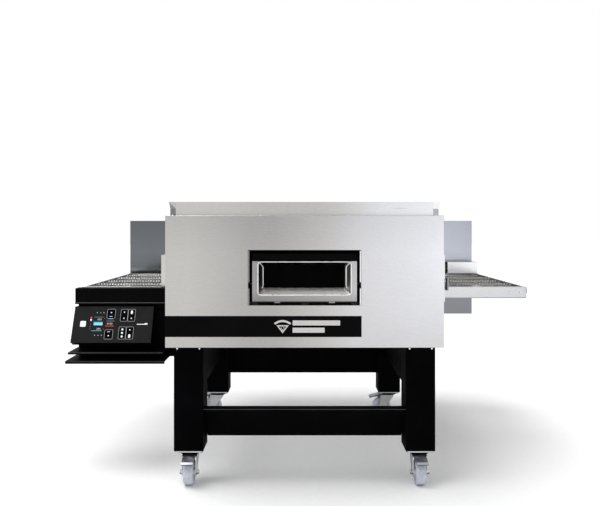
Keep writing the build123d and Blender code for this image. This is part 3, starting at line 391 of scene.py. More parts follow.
# Black rubber for the seal and dust rings; also painted shadow for the dark sheets and blocks in
# gaps.
SEAL_AND_SHADE_BLACK = moulded("seal_and_shade_black", (0.0022, 0.0022, 0.0026), 0.6, 0.03, 0.3)
SHEET = aluminised("aluminised_sheet")
BLACK_PAINT = powder_coat("black_powder_coat")
STAND_BLACK = powder_coat("stand_powder_coat", roughness=0.65, specular=0.008)
STRIPE_PAINT = powder_coat("stripe_lacquer", (0.0018, 0.0018, 0.0022), 0.35, 0.03)
MOTOR_ENAMEL = powder_coat("motor_enamel", (0.014, 0.014, 0.016), 0.4, 0.35)
FILM = moulded("console_film", (0.0165, 0.0165, 0.0165), 0.42, 0.06, 0.12)
KEY_FILM = moulded("key_film", (0.002, 0.002, 0.0022), 0.36, 0.03, 0.1)
BUTTON_WHITE = lamp("button_white", (0.82, 0.84, 0.87), 0.25)
HANDLE_BLACK = moulded("handle_black", (0.0014, 0.0014, 0.0017), 0.4, 0.03, 0.15)
BAR_STEEL = plated("bar_steel", (0.5, 0.5, 0.5), 0.28).toned(
    ("X", -1.023, -1.025, (1.3, 1.42, 1.55)),  # left end bar, painted lighter and bluer as lit
    ("X", 1.023, 1.025, (0.5, 0.54, 0.6)),  # right end bar, in painted shade
)
ZINC = plated("zinc_plate", (0.2, 0.205, 0.21), 0.16).toned(
    ((0, -0.6, 0.8), 0.35, 0.85, (4.2, 4.2, 4.3)),  # painted reflection: faces that look up and forward made bright
    ((-1, 0, 0), 0.8, 0.97, (0.3, 0.3, 0.31)),  # painted shade: faces that look sideways made dark
    ((1, 0, 0), 0.8, 0.97, (0.3, 0.3, 0.31)),
)
PEDAL_ZINC = plated("pedal_zinc", (0.1, 0.103, 0.11), 0.45).toned(
    ((0, -0.3, 0.95), 0.6, 0.9, (4.5, 4.6, 4.9)),  # painted highlight on the top of the pedal
)
SCREW_ZINC = plated("screw_zinc", (0.85, 0.86, 0.88), 0.16).toned(
    ((0.4, -0.1, -0.9), 0.1, 0.45, (0.22, 0.28, 0.38)),  # painted shade on faces that look down
)
# Pale grey for the thin edge strips: painted highlights along the black folds.
EDGE_HIGHLIGHT_GREY = powder_coat("painted_edge_highlight", (0.08, 0.08, 0.084), 0.35, 0.3)
WIRE = wire_steel()
WHEEL = tread()
GLASS = dark_glass()
CHAIN = oiled_steel()
INK = silvered()
WHITE_MARK = lamp("white_mark", (0.72, 0.74, 0.76))
CYAN_MARK = lamp("cyan_mark", (0.16, 0.55, 0.72))
RED_MARK = lamp("red_mark", (0.62, 0.05, 0.07))
DIM_MARK = lamp("dim_mark", (0.2, 0.24, 0.27), 0.3)
OUTLINE_MARK = lamp("outline_mark", (0.4, 0.41, 0.43), 0.3)

CAD_FINISHES = {
    STEEL_X: ("top_panel", "back_panel"),
    COVER_STEEL: ("motor_cover",),
    FRONT_STEEL: ("front_panel",),
    RAIL_STEEL: ("conveyor_rails",),
    COLLAR_STEEL: ("top_collar",),
    STEEL_Y: ("side_panels", "mouth_shrouds", "fan_motor_covers"),
    WING_STEEL: ("rear_wings",),
    DOOR_STEEL: ("door_panel",),
    SHEET: ("bottom_panel", "rear_plenum", "baking_chamber", "air_jets"),
    BLACK_PAINT: ("console_beam", "console_housing", "console_plates"),
    STAND_BLACK: ("stand_legs", "stand_beams"),
    STRIPE_PAINT: ("trim_stripe",),
    MOTOR_ENAMEL: ("fan_motors", "drive_motor"),
    FILM: ("console_face",),
    BUTTON_WHITE: ("power_button",),
    HANDLE_BLACK: ("door_handle", "cable_gland"),
    BAR_STEEL: ("conveyor_cross_bars", "drive_shaft", "idler_shaft", "motor_sprocket"),
    HINGE_STEEL: ("door_hinge",),
    ZINC: ("caster_plates", "fasteners"),
    GLASS: ("door_glass",),
    CHAIN: ("drive_chain",),
    WIRE: ("conveyor_belt",),
    mineral_wool(): ("chamber_insulation",),
    oxidised(): ("heating_elements",),
    circuit_board(): ("control_board",),
}
CAD_PREFIXES = {
    SHEET: "circulation_fan_",
    ZINC: "caster_fork_",
    WHEEL: "caster_wheel_",
    PEDAL_ZINC: "caster_pedal_",
}

KEY_NODES = [joint["child"] for joint in frame["joints"] if joint["type"] == "slide"]


def finish_cad_nodes():
    """Give every carried CAD node its finish."""
    chosen = {node: finish for finish, nodes in CAD_FINISHES.items() for node in nodes}
    for finish, prefix in CAD_PREFIXES.items():
        chosen.update({node: finish for node in frame["nodes"] if node.startswith(prefix)})
    for node in KEY_NODES:
        chosen.setdefault(node, KEY_FILM)
    for node, piece in frame["nodes"].items():
        for slot in piece.material_slots:
            slot.material = chosen[node].material


# -------- mesh helpers
def linked(name, data):
    """A new object in the scene."""
    made = bpy.data.objects.new(name, data)
    bpy.context.scene.collection.objects.link(made)
    return made


def add_piece(name, verts, faces, finish, body, smooth=False):
    """A mesh piece that rides on a body."""
    mesh = bpy.data.meshes.new(name)
    mesh.from_pydata(verts, [], faces)
    mesh.materials.append(finish.material)
    mesh.polygons.foreach_set("use_smooth", [smooth] * len(mesh.polygons))
    mesh.update()
    piece = linked(name, mesh)
    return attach(piece, body)


def outward_faces(piece):
    """Turn every face of a piece to look outwards."""
    made = bmesh.new()
    made.from_mesh(piece.data)
    bmesh.ops.recalc_face_normals(made, faces=made.faces)
    made.to_mesh(piece.data)
    made.free()
    return piece


def skin(rows, sides, closed=False):
    """Faces over a row of loops with as many points; an open row gets a lid at each end."""
    faces = [
        (
            row * sides + k,
            row * sides + (k + 1) % sides,
            (row + 1) % rows * sides + (k + 1) % sides,
            (row + 1) % rows * sides + k,
        )
        for row in range(rows if closed else rows - 1)
        for k in range(sides)
    ]
    if not closed:
        faces.append(tuple(reversed(range(sides))))
        faces.append(tuple((rows - 1) * sides + k for k in range(sides)))
    return faces


class Solids:
    """Several closed solids gathered into one mesh."""

    def __init__(self):
        self.verts = []
        self.faces = []

    def add(self, verts, faces):
        """One more solid, its faces numbered from its own first point."""
        start = len(self.verts)
        self.verts += [tuple(v) for v in verts]
        self.faces += [tuple(start + i for i in face) for face in faces]

    def prism(self, outline, rise):
        """A closed outline carried along a vector."""
        count = len(outline)
        around = [(i, (i + 1) % count, count + (i + 1) % count, count + i) for i in range(count)]
        lids = [tuple(reversed(range(count))), tuple(range(count, 2 * count))]
        self.add([*outline, *[Vector(p) + rise for p in outline]], around + lids)

    def ring(self, outer, inner, rise):
        """A frame between two outlines with as many points, carried along a vector."""
        count = len(outer)
        near = [*outer, *inner]
        faces = []
        for i in range(count):
            j = (i + 1) % count
            faces.append((i, j, count + j, count + i))
            faces.append((2 * count + i, 3 * count + i, 3 * count + j, 2 * count + j))
            faces.append((i, 2 * count + i, 2 * count + j, j))
            faces.append((count + i, count + j, 3 * count + j, 3 * count + i))
        self.add([*near, *[Vector(p) + rise for p in near]], faces)

    def tube(self, points, normals, radius, sides=6, closed=False):
        """A round wire along points, each with a normal that is square to the wire."""
        points = np.array(points, float)
        normals = np.array(normals, float)
        if closed:
            ahead = np.roll(points, -1, axis=0) - np.roll(points, 1, axis=0)
        else:
            ahead = np.gradient(points, axis=0)
        ahead /= np.linalg.norm(ahead, axis=1)[:, None]
        across = np.cross(ahead, normals)
        across /= np.linalg.norm(across, axis=1)[:, None]
        upright = np.cross(across, ahead)
        angles = np.arange(sides) * 2 * pi / sides
        rings = (
            points[:, None, :]
            + radius * np.cos(angles)[None, :, None] * across[:, None, :]
            + radius * np.sin(angles)[None, :, None] * upright[:, None, :]
        )
        self.add(rings.reshape(-1, 3).tolist(), skin(len(points), sides, closed))

    def lathe(self, centre, axis, profile, sides=24, shape=None):
        """A solid turned about an axis, from a profile of (radius, along) pairs; a shape, from
        (row of the profile, angle) to a share of the radius, may pull its loops out of round."""
        axis = Vector(axis).normalized()
        side = axis.orthogonal().normalized()
        other = axis.cross(side)
        verts = []
        for index, (radius, along) in enumerate(profile):
            for k in range(sides):
                angle = k * 2 * pi / sides
                share = shape(index, angle) if shape else 1
                spoke = side * cos(angle) + other * sin(angle)
                verts.append(Vector(centre) + spoke * radius * share + axis * along)
        self.add(verts, skin(len(profile), sides))

    def piece(self, name, finish, body, slot, smooth=False):
        """The gathered solids as one piece that rides on a body."""
        return outward_faces(add_piece(name, self.verts, self.faces, finish, body, smooth))


# -------- wire belt
WIRE_RADIUS = 1.5 * MM
WIRE_COUNT = 304
LOOP_ROWS = (-262.5 * MM, -87.5 * MM, 87.5 * MM, 262.5 * MM)  # y from the belt's middle
SPAN_LIFT = -2.4 * MM
BELT_DEPTH = 3 * MM  # from the belt's outermost level to the wires' line
HOOK_GAP = 1 * MM  # a span stops this far short of half the pitch
EDGE_BEND = 4 * MM  # from a side edge to the nearest low span
EDGE_BACK, EDGE_AHEAD = 0.6, 0.5  # ends of the bend along an edge, as shares of the reach
# A standing loop between two spans: across in mm, share of the reach, lift in mm.
LOOP = ((-9, 1, -2.4), (-3, 0.6, -2.4), (-1.4, 0.36, -1.6), (-0.6, 0.36, 6))
LOOP += ((0.6, -0.36, 6), (1.4, -0.36, -1.6), (3, -0.6, -2.4), (9, -1, -2.4))


class BeltPath:
    """The belt's closed line: along the top, round the right shaft, back below and up again."""

    def __init__(self):
        low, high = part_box("conveyor_belt")
        self.outer = (high.z - low.z) / 2
        self.radius = self.outer - BELT_DEPTH
        self.half = high.x - self.outer
        self.level = (high.z + low.z) / 2
        self.edges = (low.y, high.y)
        self.straight = 2 * self.half
        self.turn = pi * self.radius
        self.length = 2 * (self.straight + self.turn)

    def at(self, along, lift):
        """The point and the outward normal, as (x, z) pairs, a distance along the line."""
        along %= self.length
        if along < self.straight:
            return (along - self.half, self.level + self.radius + lift), (0, 1)
        along -= self.straight
        if along < self.turn:
            angle = pi / 2 - along / self.radius
            reach = self.radius + lift
            normal = (cos(angle), sin(angle))
            return (self.half + reach * normal[0], self.level + reach * normal[1]), normal
        along -= self.turn
        if along < self.straight:
            return (self.half - along, self.level - self.radius - lift), (0, -1)
        angle = -pi / 2 - (along - self.straight) / self.radius
        reach = self.radius + lift
        normal = (cos(angle), sin(angle))
        return (-self.half + reach * normal[0], self.level + reach * normal[1]), normal


def wire_route(low_y, high_y, reach):
    """One wire as (y, offset along the belt, lift): low spans joined by standing loops."""
    first = low_y + WIRE_RADIUS
    last = high_y - WIRE_RADIUS
    middle_y = (low_y + high_y) / 2
    route = [(first, -reach * EDGE_BACK, WIRE_RADIUS), (first, reach * EDGE_AHEAD, WIRE_RADIUS)]
    route.append((first + EDGE_BEND, reach, SPAN_LIFT))
    for row, row_y in enumerate(LOOP_ROWS):
        side = -1 if row % 2 else 1
        for shift, share, lift in LOOP:
            y = middle_y + row_y + shift * MM
            route.append((y, side * share * reach, lift * MM))
    route.append((last - EDGE_BEND, reach, SPAN_LIFT))
    route.append((last, reach * EDGE_AHEAD, WIRE_RADIUS))
    route.append((last, -reach * EDGE_BACK, WIRE_RADIUS))
    return route


def wire_belt():
    """The flat wire belt: cross wires in low spans, joined by rows of standing loops."""
    path = BeltPath()
    pitch = path.length / WIRE_COUNT
    route = wire_route(*path.edges, pitch / 2 - HOOK_GAP)
    wires = Solids()
    for index in range(WIRE_COUNT):
        points = []
        normals = []
        for y, offset, lift in route:
            (x, z), normal = path.at((index + 0.5) * pitch + offset, lift)
            points.append((x, y, z))
            # Halfway between outwards and along, so it is never in line with the wire.
            normals.append((normal[0] + normal[1], 0, normal[1] - normal[0]))
        wires.tube(points, normals, WIRE_RADIUS)
    belt = wires.piece("wire_belt", WIRE, "casing", "belt_wire", smooth=True)
    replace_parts(belt, "conveyor_belt")


# -------- screws
def islands(node):
    """Boxes of the separate pieces of a CAD node, as (low, high) pairs."""
    made = bmesh.new()
    made.from_mesh(frame["nodes"][node].data)
    bmesh.ops.remove_doubles(made, verts=made.verts, dist=1e-6)
    unseen = set(made.verts)
    boxes = []
    while unseen:
        stack = [min(unseen, key=lambda v: v.index)]
        unseen.discard(stack[0])
        found = []
        while stack:
            vert = stack.pop()
            found.append(vert.co.copy())
            for edge in vert.link_edges:
                other = edge.other_vert(vert)
                if other in unseen:
                    unseen.discard(other)
                    stack.append(other)
        low = Vector([min(co[i] for co in found) for i in range(3)])
        high = Vector([max(co[i] for co in found) for i in range(3)])
        boxes.append((low, high))
    made.free()
    return boxes


def hexagonal(angle):
    """Distance to a hexagon's outline, as a share of its corner radius."""
    return cos(pi / 6) / cos(angle % (pi / 3) - pi / 6)


SOCKET_ROW = 5  # rows of a head's profile from here on are the hexagon socket


def socket(row, angle):
    """Share of the radius: round outside, six-sided in the socket."""
    return hexagonal(angle) if row >= SOCKET_ROW else 1


def screw_heads():
    """Low round heads with a hexagon socket in place of the plain fastener discs."""
    heads = Solids()
    panels_low, panels_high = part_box("side_panels")
    centre_z = (panels_low.z + panels_high.z) / 2
    for low, high in islands("fasteners"):
        size = high - low
        thin = min(range(3), key=lambda i: size[i])
        height = size[thin]
        radius = max(size) / 2
        middle = (low + high) / 2
        away = middle[thin] - (centre_z if thin == 2 else 0)
        axis = Vector([(1 if away > 0 else -1) if i == thin else 0 for i in range(3)])
        foot = middle - axis * height / 2
        profile = [
            (radius, 0),
            (radius, height * 0.35),
            (radius * 0.93, height * 0.65),
            (radius * 0.76, height * 0.9),
            (radius * 0.58, height),
            (radius * 0.46, height),
            (radius * 0.44, height * 0.4),
        ]
        heads.lathe(foot, axis, profile, 24, socket)
    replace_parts(heads.piece("screw_heads", SCREW_ZINC, "casing", "zinc_plate"), "fasteners")


# -------- door details
def front_loop(points, x, z, y):
    """Points (across, up) stood upright at a y, about a middle x and z."""
    return [Vector((x + across, y, z + up)) for across, up in points]


def door_details():
    """The black seal behind the door, a gasket that also stands in for the shade round the door;
    the opening's pale edges, paler on the right by painted light; and the recess's bright beads,
    brightened to a painted highlight.
    """
    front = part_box("front_panel")[0].y
    seal = Solids()
    seal_y = front + 82 * MM
    seal_z = 847 * MM
    seal_thickness = Vector((0, 17 * MM, 0))
    outer = rounded_rectangle(452 * MM, 220 * MM, 3 * MM)
    inner = rounded_rectangle(392 * MM, 156 * MM, 10 * MM)
    outer_loop = front_loop(outer, 0, seal_z, seal_y)
    inner_loop = front_loop(inner, 0, seal_z - 5 * MM, seal_y)
    seal.ring(outer_loop, inner_loop, seal_thickness)
    # A black sheet in each side of the opening: painted shade in its slot.
    slot_shade_z = 802 * MM
    slot_shade_rise = Vector((0, 0, 32 * MM))
    for side in (-1, 1):
        slot_shade = [(side * 229.6, 4), (side * 231, 4), (side * 231, 34), (side * 229.6, 34)]
        base = [Vector((x * MM, front + depth * MM, slot_shade_z)) for x, depth in slot_shade]
        seal.prism(base, slot_shade_rise)
    seal.piece("door_seal", SEAL_AND_SHADE_BLACK, "casing", "handle_black")

    edges = Solids()
    for side in (-1, 1):
        for low_z, high_z in ((737, 804), (829, 955)):  # below and above the slot
            loop = [Vector((side * x * MM, front + 2 * MM, low_z * MM)) for x in (221.5, 225.8)]
            loop += [point + Vector((0, 1 * MM, 0)) for point in reversed(loop)]
            edges.prism(loop, Vector((0, 0, (high_z - low_z) * MM)))
    edges.piece("opening_edges", EDGE_STEEL, "casing", "stainless")

    beads = Solids()
    bead_y = front + 15 * MM
    bead_z = 843 * MM
    outline = rounded_rectangle(376 * MM, 134 * MM, 12 * MM, 8)
    path = front_loop(outline, 0, bead_z, bead_y)
    beads.tube(path, [(0, -1, 0)] * len(path), 2.8 * MM, 10, closed=True)
    for side in (-1, 1):
        # Down a corner of the recess: x, z and depth behind the front, in mm.
        run = [(181, 905, 17), (177, 900, 24), (171, 893, 36), (168.5, 886, 40), (168.5, 850, 40)]
        run += [(168.5, 815, 40), (169.5, 808, 39), (173, 802, 33)]
        path = [(side * x * MM, front + depth * MM, z * MM) for x, z, depth in run]
        beads.tube(path, [(-side * 0.6, -0.8, 0)] * len(path), 2 * MM, 10)
    beads.piece("door_beads", BEAD_STEEL, "door", "door_steel", smooth=True)


# -------- drive chain
CHAIN_LINKS = 42
CHAIN_CENTRES = ((996, 742), (968, 812))  # x and z of the two sprockets
CHAIN_RADIUS = 18.9 * MM
LINK_THICKNESS = 0.7 * MM
LINK_RADIUS = 2.3 * MM  # of a link plate's round ends
ROLLER_RADIUS = 1.7 * MM


def chain_point(share):
    """A point (x, z) and heading on the chain's loop, a share of the way round."""
    (x0, z0), (x1, z1) = CHAIN_CENTRES
    gap = hypot(x1 - x0, z1 - z0) * MM
    heading = atan2(z1 - z0, x1 - x0)
    turn = pi * CHAIN_RADIUS
    along = share % 1 * 2 * (gap + turn)
    start = Vector((x0 * MM, z0 * MM))
    end = Vector((x1 * MM, z1 * MM))
    ahead = Vector((cos(heading), sin(heading)))
    right = Vector((sin(heading), -cos(heading)))
    if along < gap:
        return start + ahead * along + right * CHAIN_RADIUS, heading
    along -= gap
    if along < turn:
        angle = heading - pi / 2 + along / CHAIN_RADIUS
        return end + Vector((cos(angle), sin(angle))) * CHAIN_RADIUS, angle + pi / 2
    along -= turn
    if along < gap:
        return end - ahead * along - right * CHAIN_RADIUS, heading + pi
    angle = heading + pi / 2 + (along - gap) / CHAIN_RADIUS
    return start + Vector((cos(angle), sin(angle))) * CHAIN_RADIUS, angle + pi / 2


def roller_chain():
    """Link plates and rollers in place of the plain chain loop."""
    low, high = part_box("drive_chain")
    middle_y = (low.y + high.y) / 2
    width = high.y - low.y
    links = Solids()
    pins = [chain_point(index / CHAIN_LINKS)[0] for index in range(CHAIN_LINKS)]
    for index in range(CHAIN_LINKS):
        first = pins[index]
        second = pins[(index + 1) % CHAIN_LINKS]
        ahead = (second - first).normalized()
        heading = atan2(ahead.y, ahead.x)
        outline = []
        for end, turn in ((second, -pi / 2), (first, pi / 2)):
            for step in range(7):
                angle = heading + turn + step * pi / 6
                outline.append(end + Vector((cos(angle), sin(angle))) * LINK_RADIUS)
        # Every other link lies inside its neighbours.
        inset = 0 if index % 2 else LINK_THICKNESS * 1.1
        for side in (-1, 1):
            face = middle_y + side * (width / 2 - inset)
            loop = [Vector((p.x, face, p.y)) for p in outline]
            links.prism(loop, Vector((0, -side * LINK_THICKNESS, 0)))
        roller = Vector((first.x, middle_y - width / 2 + LINK_THICKNESS, first.y))
        span = width - 2 * LINK_THICKNESS
        links.lathe(roller, Y_AXIS, [(ROLLER_RADIUS, 0), (ROLLER_RADIUS, span)], 10)
    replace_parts(links.piece("roller_chain", CHAIN, "casing", "chain_steel"), "drive_chain")


# -------- stand and console details
def edge_highlight_strips():
    """Thin paler strips along the folds of the black coat: painted highlights where the edges
    catch the light.
    """
    strips = Solids()
    proud = Vector((0, -0.3 * MM, 0))

    def strip(x_ends, y, z, rise):
        """A strip on a face at y, from its two ends, its foot and its height in mm."""
        loop = [Vector((x * MM, y, z * MM)) for x in x_ends]
        loop += [loop[1] + Vector((0, 0, rise * MM)), loop[0] + Vector((0, 0, rise * MM))]
        strips.prism(loop, proud)

    beam_low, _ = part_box("console_beam")
    strip((-1038, -563), beam_low.y, 703.4, 2.6)
    stand_low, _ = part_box("stand_beams")
    strip((-409, 409), stand_low.y, 310.6, 1.2)
    plates_low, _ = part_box("console_plates")
    strip((-1038, -610), plates_low.y, 462.6, 1.8)
    strip((-1038, -610), plates_low.y, 454.2, 1.0)
    strip((-1038, -622), plates_low.y + 32 * MM, 494.2, 2.4)
    strips.piece("painted_edge_highlights", EDGE_HIGHLIGHT_GREY, "casing", "black_paint")


def circle(middle, radius, steps=36):
    """Points of a level circle."""
    turns = [index * 2 * pi / steps for index in range(steps)]
    return [middle + Vector((radius * cos(turn), radius * sin(turn), 0)) for turn in turns]


RING_STEPS = ((121.5, 124, 44.8), (124, 135.9, 46))  # low, high and radius in mm
RING_BORE = 40.5 * MM


def dust_rings():
    """Black rubber skirts round the swivel races, with a stepped lower lip."""
    rings = Solids()
    for joint in frame["joints"]:
        if joint["name"].startswith("swivel_"):
            x, y, _ = joint["pos_m"]
            for low_z, high_z, radius in RING_STEPS:
                foot = Vector((x, y, low_z * MM))
                rise = Vector((0, 0, (high_z - low_z) * MM))
                rings.ring(circle(foot, radius * MM), circle(foot, RING_BORE), rise)
    rings.piece("dust_rings", SEAL_AND_SHADE_BLACK, "casing", "black_paint")


COLLAR_BEVEL = 28 * MM  # width of the flat bevels at the collar's front corners


def collar_corners():
    """Webs that fill the collar's flat bevels out to square corners at the rim."""
    low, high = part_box("top_collar")
    webs = Solids()
    for side, edge in ((-1, low.x), (1, high.x)):
        front_top = Vector((edge - side * COLLAR_BEVEL, low.y, high.z))
        side_top = Vector((edge, low.y + COLLAR_BEVEL, high.z))
        drop = Vector((0, 0, -COLLAR_BEVEL))
        corner = Vector((edge, low.y, high.z))
        verts = [front_top, side_top, corner, front_top + drop, side_top + drop]
        webs.add(verts, [(0, 1, 2), (3, 2, 4), (0, 2, 3), (1, 4, 2), (0, 3, 4, 1)])
    webs.piece("collar_corners", WEB_STEEL, "casing", "stainless")


def collar_rivets():
    """Small rivets near the right end of the collar, and black blocks at its left foot: painted
    shadow in the gap under the collar.
    """
    low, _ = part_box("top_collar")
    rivets = Solids()
    rivet_z = 1127 * MM
    profile = [(2.4 * MM, 0), (2.2 * MM, 0.6 * MM), (1.2 * MM, 1.1 * MM)]
    for x in (370, 382, 394, 406, 418):
        rivets.lathe((x * MM, low.y, rivet_z), (0, -1, 0), profile, 12)
    rivets.piece("collar_rivets", SCREW_ZINC, "casing", "stainless")
    foot_shadows = Solids()
    for across in (2, 17):  # along the left corner's bevel, in mm
        start = Vector((low.x + across * MM, low.y + (26 - across) * MM, low.z + 0.1 * MM))
        side = Vector((9 * MM, -9 * MM, 0))
        out = Vector((-2.5 * MM, -2.5 * MM, 0))
        loop = [start, start + side, start + side + out, start + out]
        foot_shadows.prism(loop, Vector((0, 0, 4 * MM)))
    foot_shadows.piece("collar_foot_shadows", SEAL_AND_SHADE_BLACK, "casing", "black_paint")


def weld_beads():
    """Painted weld beads round the side beams' ends."""
    welds = Solids()
    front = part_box("front_panel")[0].y
    loop = rounded_rectangle(44 * MM, 164 * MM, 2 * MM, 3)
    beam_x = 470 * MM
    beam_z = 420 * MM
    for side in (-1, 1):
        for depth, way in ((150.5, 1), (938.5, -1)):  # at the front and the rear leg
            path = front_loop(loop, side * beam_x, beam_z, front + depth * MM)
            welds.tube(path, [(0, way, 0)] * len(path), 2.2 * MM, 8, closed=True)
    welds.piece("weld_beads", STAND_BLACK, "casing", "black_paint", smooth=True)


# -------- stripe marks
def rounded_rectangle(width, height, radius, steps=5):
    """Points (across, up) of a rectangle with rounded corners, about its middle."""
    points = []
    for turn, (side, rise) in enumerate(((1, 1), (-1, 1), (-1, -1), (1, -1))):
        for step in range(steps):
            angle = (turn + step / (steps - 1)) * pi / 2
            across = side * (width / 2 - radius) + radius * cos(angle)
            up = rise * (height / 2 - radius) + radius * sin(angle)
            points.append((across, up))
    return points


def stripe_marks():
    """A plain slice-shaped sign and two blank bars in silver ink."""
    low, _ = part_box("trim_stripe")
    front = low.y - 0.15 * MM
    middle_z = low.z + 42 * MM
    thickness = Vector((0, 0.2 * MM, 0))
    marks = Solids()

    def on_stripe(points, x, z):
        return [Vector((x + across, front, z + up)) for across, up in points]

    sign_x = -88 * MM
    tip = -27 * MM  # height of the slice's tip above the stripe's middle
    arc = [(sin(a) * 53 * MM, tip + cos(a) * 53 * MM) for a in np.linspace(-0.72, 0.72, 13)]
    inner_arc = [(sin(a) * 45 * MM, tip + cos(a) * 45 * MM) for a in np.linspace(0.68, -0.68, 13)]
    marks.prism(on_stripe(arc + inner_arc, sign_x, middle_z), thickness)
    outer = [(0.0, tip), (25 * MM, 5.5 * MM), (-25 * MM, 5.5 * MM)]
    inner = [(0.0, tip + 10 * MM), (16 * MM, 0.5 * MM), (-16 * MM, 0.5 * MM)]
    marks.ring(on_stripe(outer, sign_x, middle_z), on_stripe(inner, sign_x, middle_z), thickness)
    for across, up in ((-5, -6.5), (5, -5), (0, -13)):
        dot = [(cos(k * pi / 6) * 2.4 * MM, sin(k * pi / 6) * 2.4 * MM) for k in range(12)]
        marks.prism(on_stripe(dot, sign_x + across * MM, middle_z + up * MM), thickness)
    for width, up in ((190, 14.5), (128, -14.5)):
        bar = rounded_rectangle(width * MM, 20 * MM, 2 * MM)
        marks.prism(on_stripe(bar, (-48 + width / 2) * MM, middle_z + up * MM), thickness)
    marks.piece("stripe_sign", INK, "casing", "trim_black")


# -------- console graphics
class ConsoleFace:
    """Places on the sloping control face, from its left edge and down from its top edge."""

    def __init__(self):
        press = next(j for j in frame["joints"] if j["name"] == "power_button_press")
        self.out = -Vector(press["axis"]).normalized()
        self.down = X_AXIS.cross(self.out)
        verts = [v.co for v in frame["nodes"]["console_face"].data.vertices]
        self.level = max(v.dot(self.out) for v in verts)
        self.top = min(v.dot(self.down) for v in verts)
        self.left = min(v.x for v in verts)

    def point(self, across, down, proud):
        """A place on the face, or proud of it."""
        place = X_AXIS * (self.left + across) + self.down * (self.top + down)
        return place + self.out * (self.level + proud)

    def spot(self, node):
        """Middle (across, down), width and height of a key on the face."""
        verts = [v.co for v in frame["nodes"][node].data.vertices]
        top = max(v.dot(self.out) for v in verts)
        verts = [v for v in verts if v.dot(self.out) > top - 1 * MM]
        xs = [v.x - self.left for v in verts]
        downs = [v.dot(self.down) - self.top for v in verts]
        middle = ((max(xs) + min(xs)) / 2, (max(downs) + min(downs)) / 2)
        return middle, max(xs) - min(xs), max(downs) - min(downs)

    def outline(self, points, across, down, proud):
        """Points (across, up) laid on the face about a middle."""
        return [self.point(across + x, down - up, proud) for x, up in points]


INK_THICKNESS = 0.12 * MM
INK_LIFT = 0.02 * MM  # between the face and the underside of the ink
KEY_PROUD = 0.5 * MM
# Segments of a digit as (middle across, middle up, width, height) in shares of its size.
SEGMENTS = {
    "a": (0, 0.5, 0.7, 0.14),
    "b": (0.5, 0.25, 0.2, 0.42),
    "c": (0.5, -0.25, 0.2, 0.42),
    "d": (0, -0.5, 0.7, 0.14),
    "e": (-0.5, -0.25, 0.2, 0.42),
    "f": (-0.5, 0.25, 0.2, 0.42),
    "g": (0, 0, 0.7, 0.14),
}
DIGIT_WIDTH = 0.55  # as a share of its height
DIGITS = {"0": "abcdef", "2": "abged", "3": "abgcd", "5": "afgcd", "8": "abcdefg"}


def console_marks():
    """Lit readouts, bars and dots on the control face."""
    face = ConsoleFace()
    rise = face.out * INK_THICKNESS

    def bar(solids, across, down, width, height, radius=0.8):
        """A rounded bar about a place on the face, in mm."""
        points = rounded_rectangle(width * MM, height * MM, radius * MM, 3)
        solids.prism(face.outline(points, across * MM, down * MM, INK_LIFT), rise)

    def number(solids, text, across, down, height=6.4, advance=6.6):
        """Digits from the middle of the first one on, in mm."""
        for index, digit in enumerate(text):
            for segment in DIGITS[digit]:
                x, up, width, tall = SEGMENTS[segment]
                share = height * DIGIT_WIDTH
                place = across + index * advance + x * share
                bar(solids, place, down - up * height, width * share, tall * height, 0.2)

    white = Solids()
    number(white, "280", 112, 60.5)
    number(white, "285", 112, 104)
    number(white, "0530", 156, 80)
    bar(white, 80, 63, 6, 9)
    for down in (30, 133):
        for across in (104, 119.5, 134.5):
            bar(white, across, down, 3, 3, 1.4)
    bar(white, 305, 83, 34, 3.4, 1)
    bar(white, 329, 81.5, 13, 7, 1)
    white.piece("readout_digits", WHITE_MARK, "casing", "button_white")

    cyan = Solids()
    bar(cyan, 114, 81, 40, 13, 1.5)
    bar(cyan, 110, 112.5, 46, 1.4)
    bar(cyan, 168, 58, 20, 1.4)
    cyan.piece("readout_bars", CYAN_MARK, "casing", "button_white")

    red = Solids()
    bar(red, 80, 52, 7, 6, 1.5)
    bar(red, 166, 91, 38, 2.4)
    for down in (56, 105):
        bar(red, 140, down, 3, 3, 1.4)
    red.piece("readout_alerts", RED_MARK, "casing", "button_white")

    dim = Solids()
    bar(dim, 114, 50, 40, 1.6)
    bar(dim, 168, 68, 36, 1.6)
    bar(dim, 112, 70, 44, 1.2)
    for down in (82, 93, 104):
        bar(dim, 80, down, 3, 3, 1.4)
    dim.piece("readout_labels", DIM_MARK, "casing", "button_white")


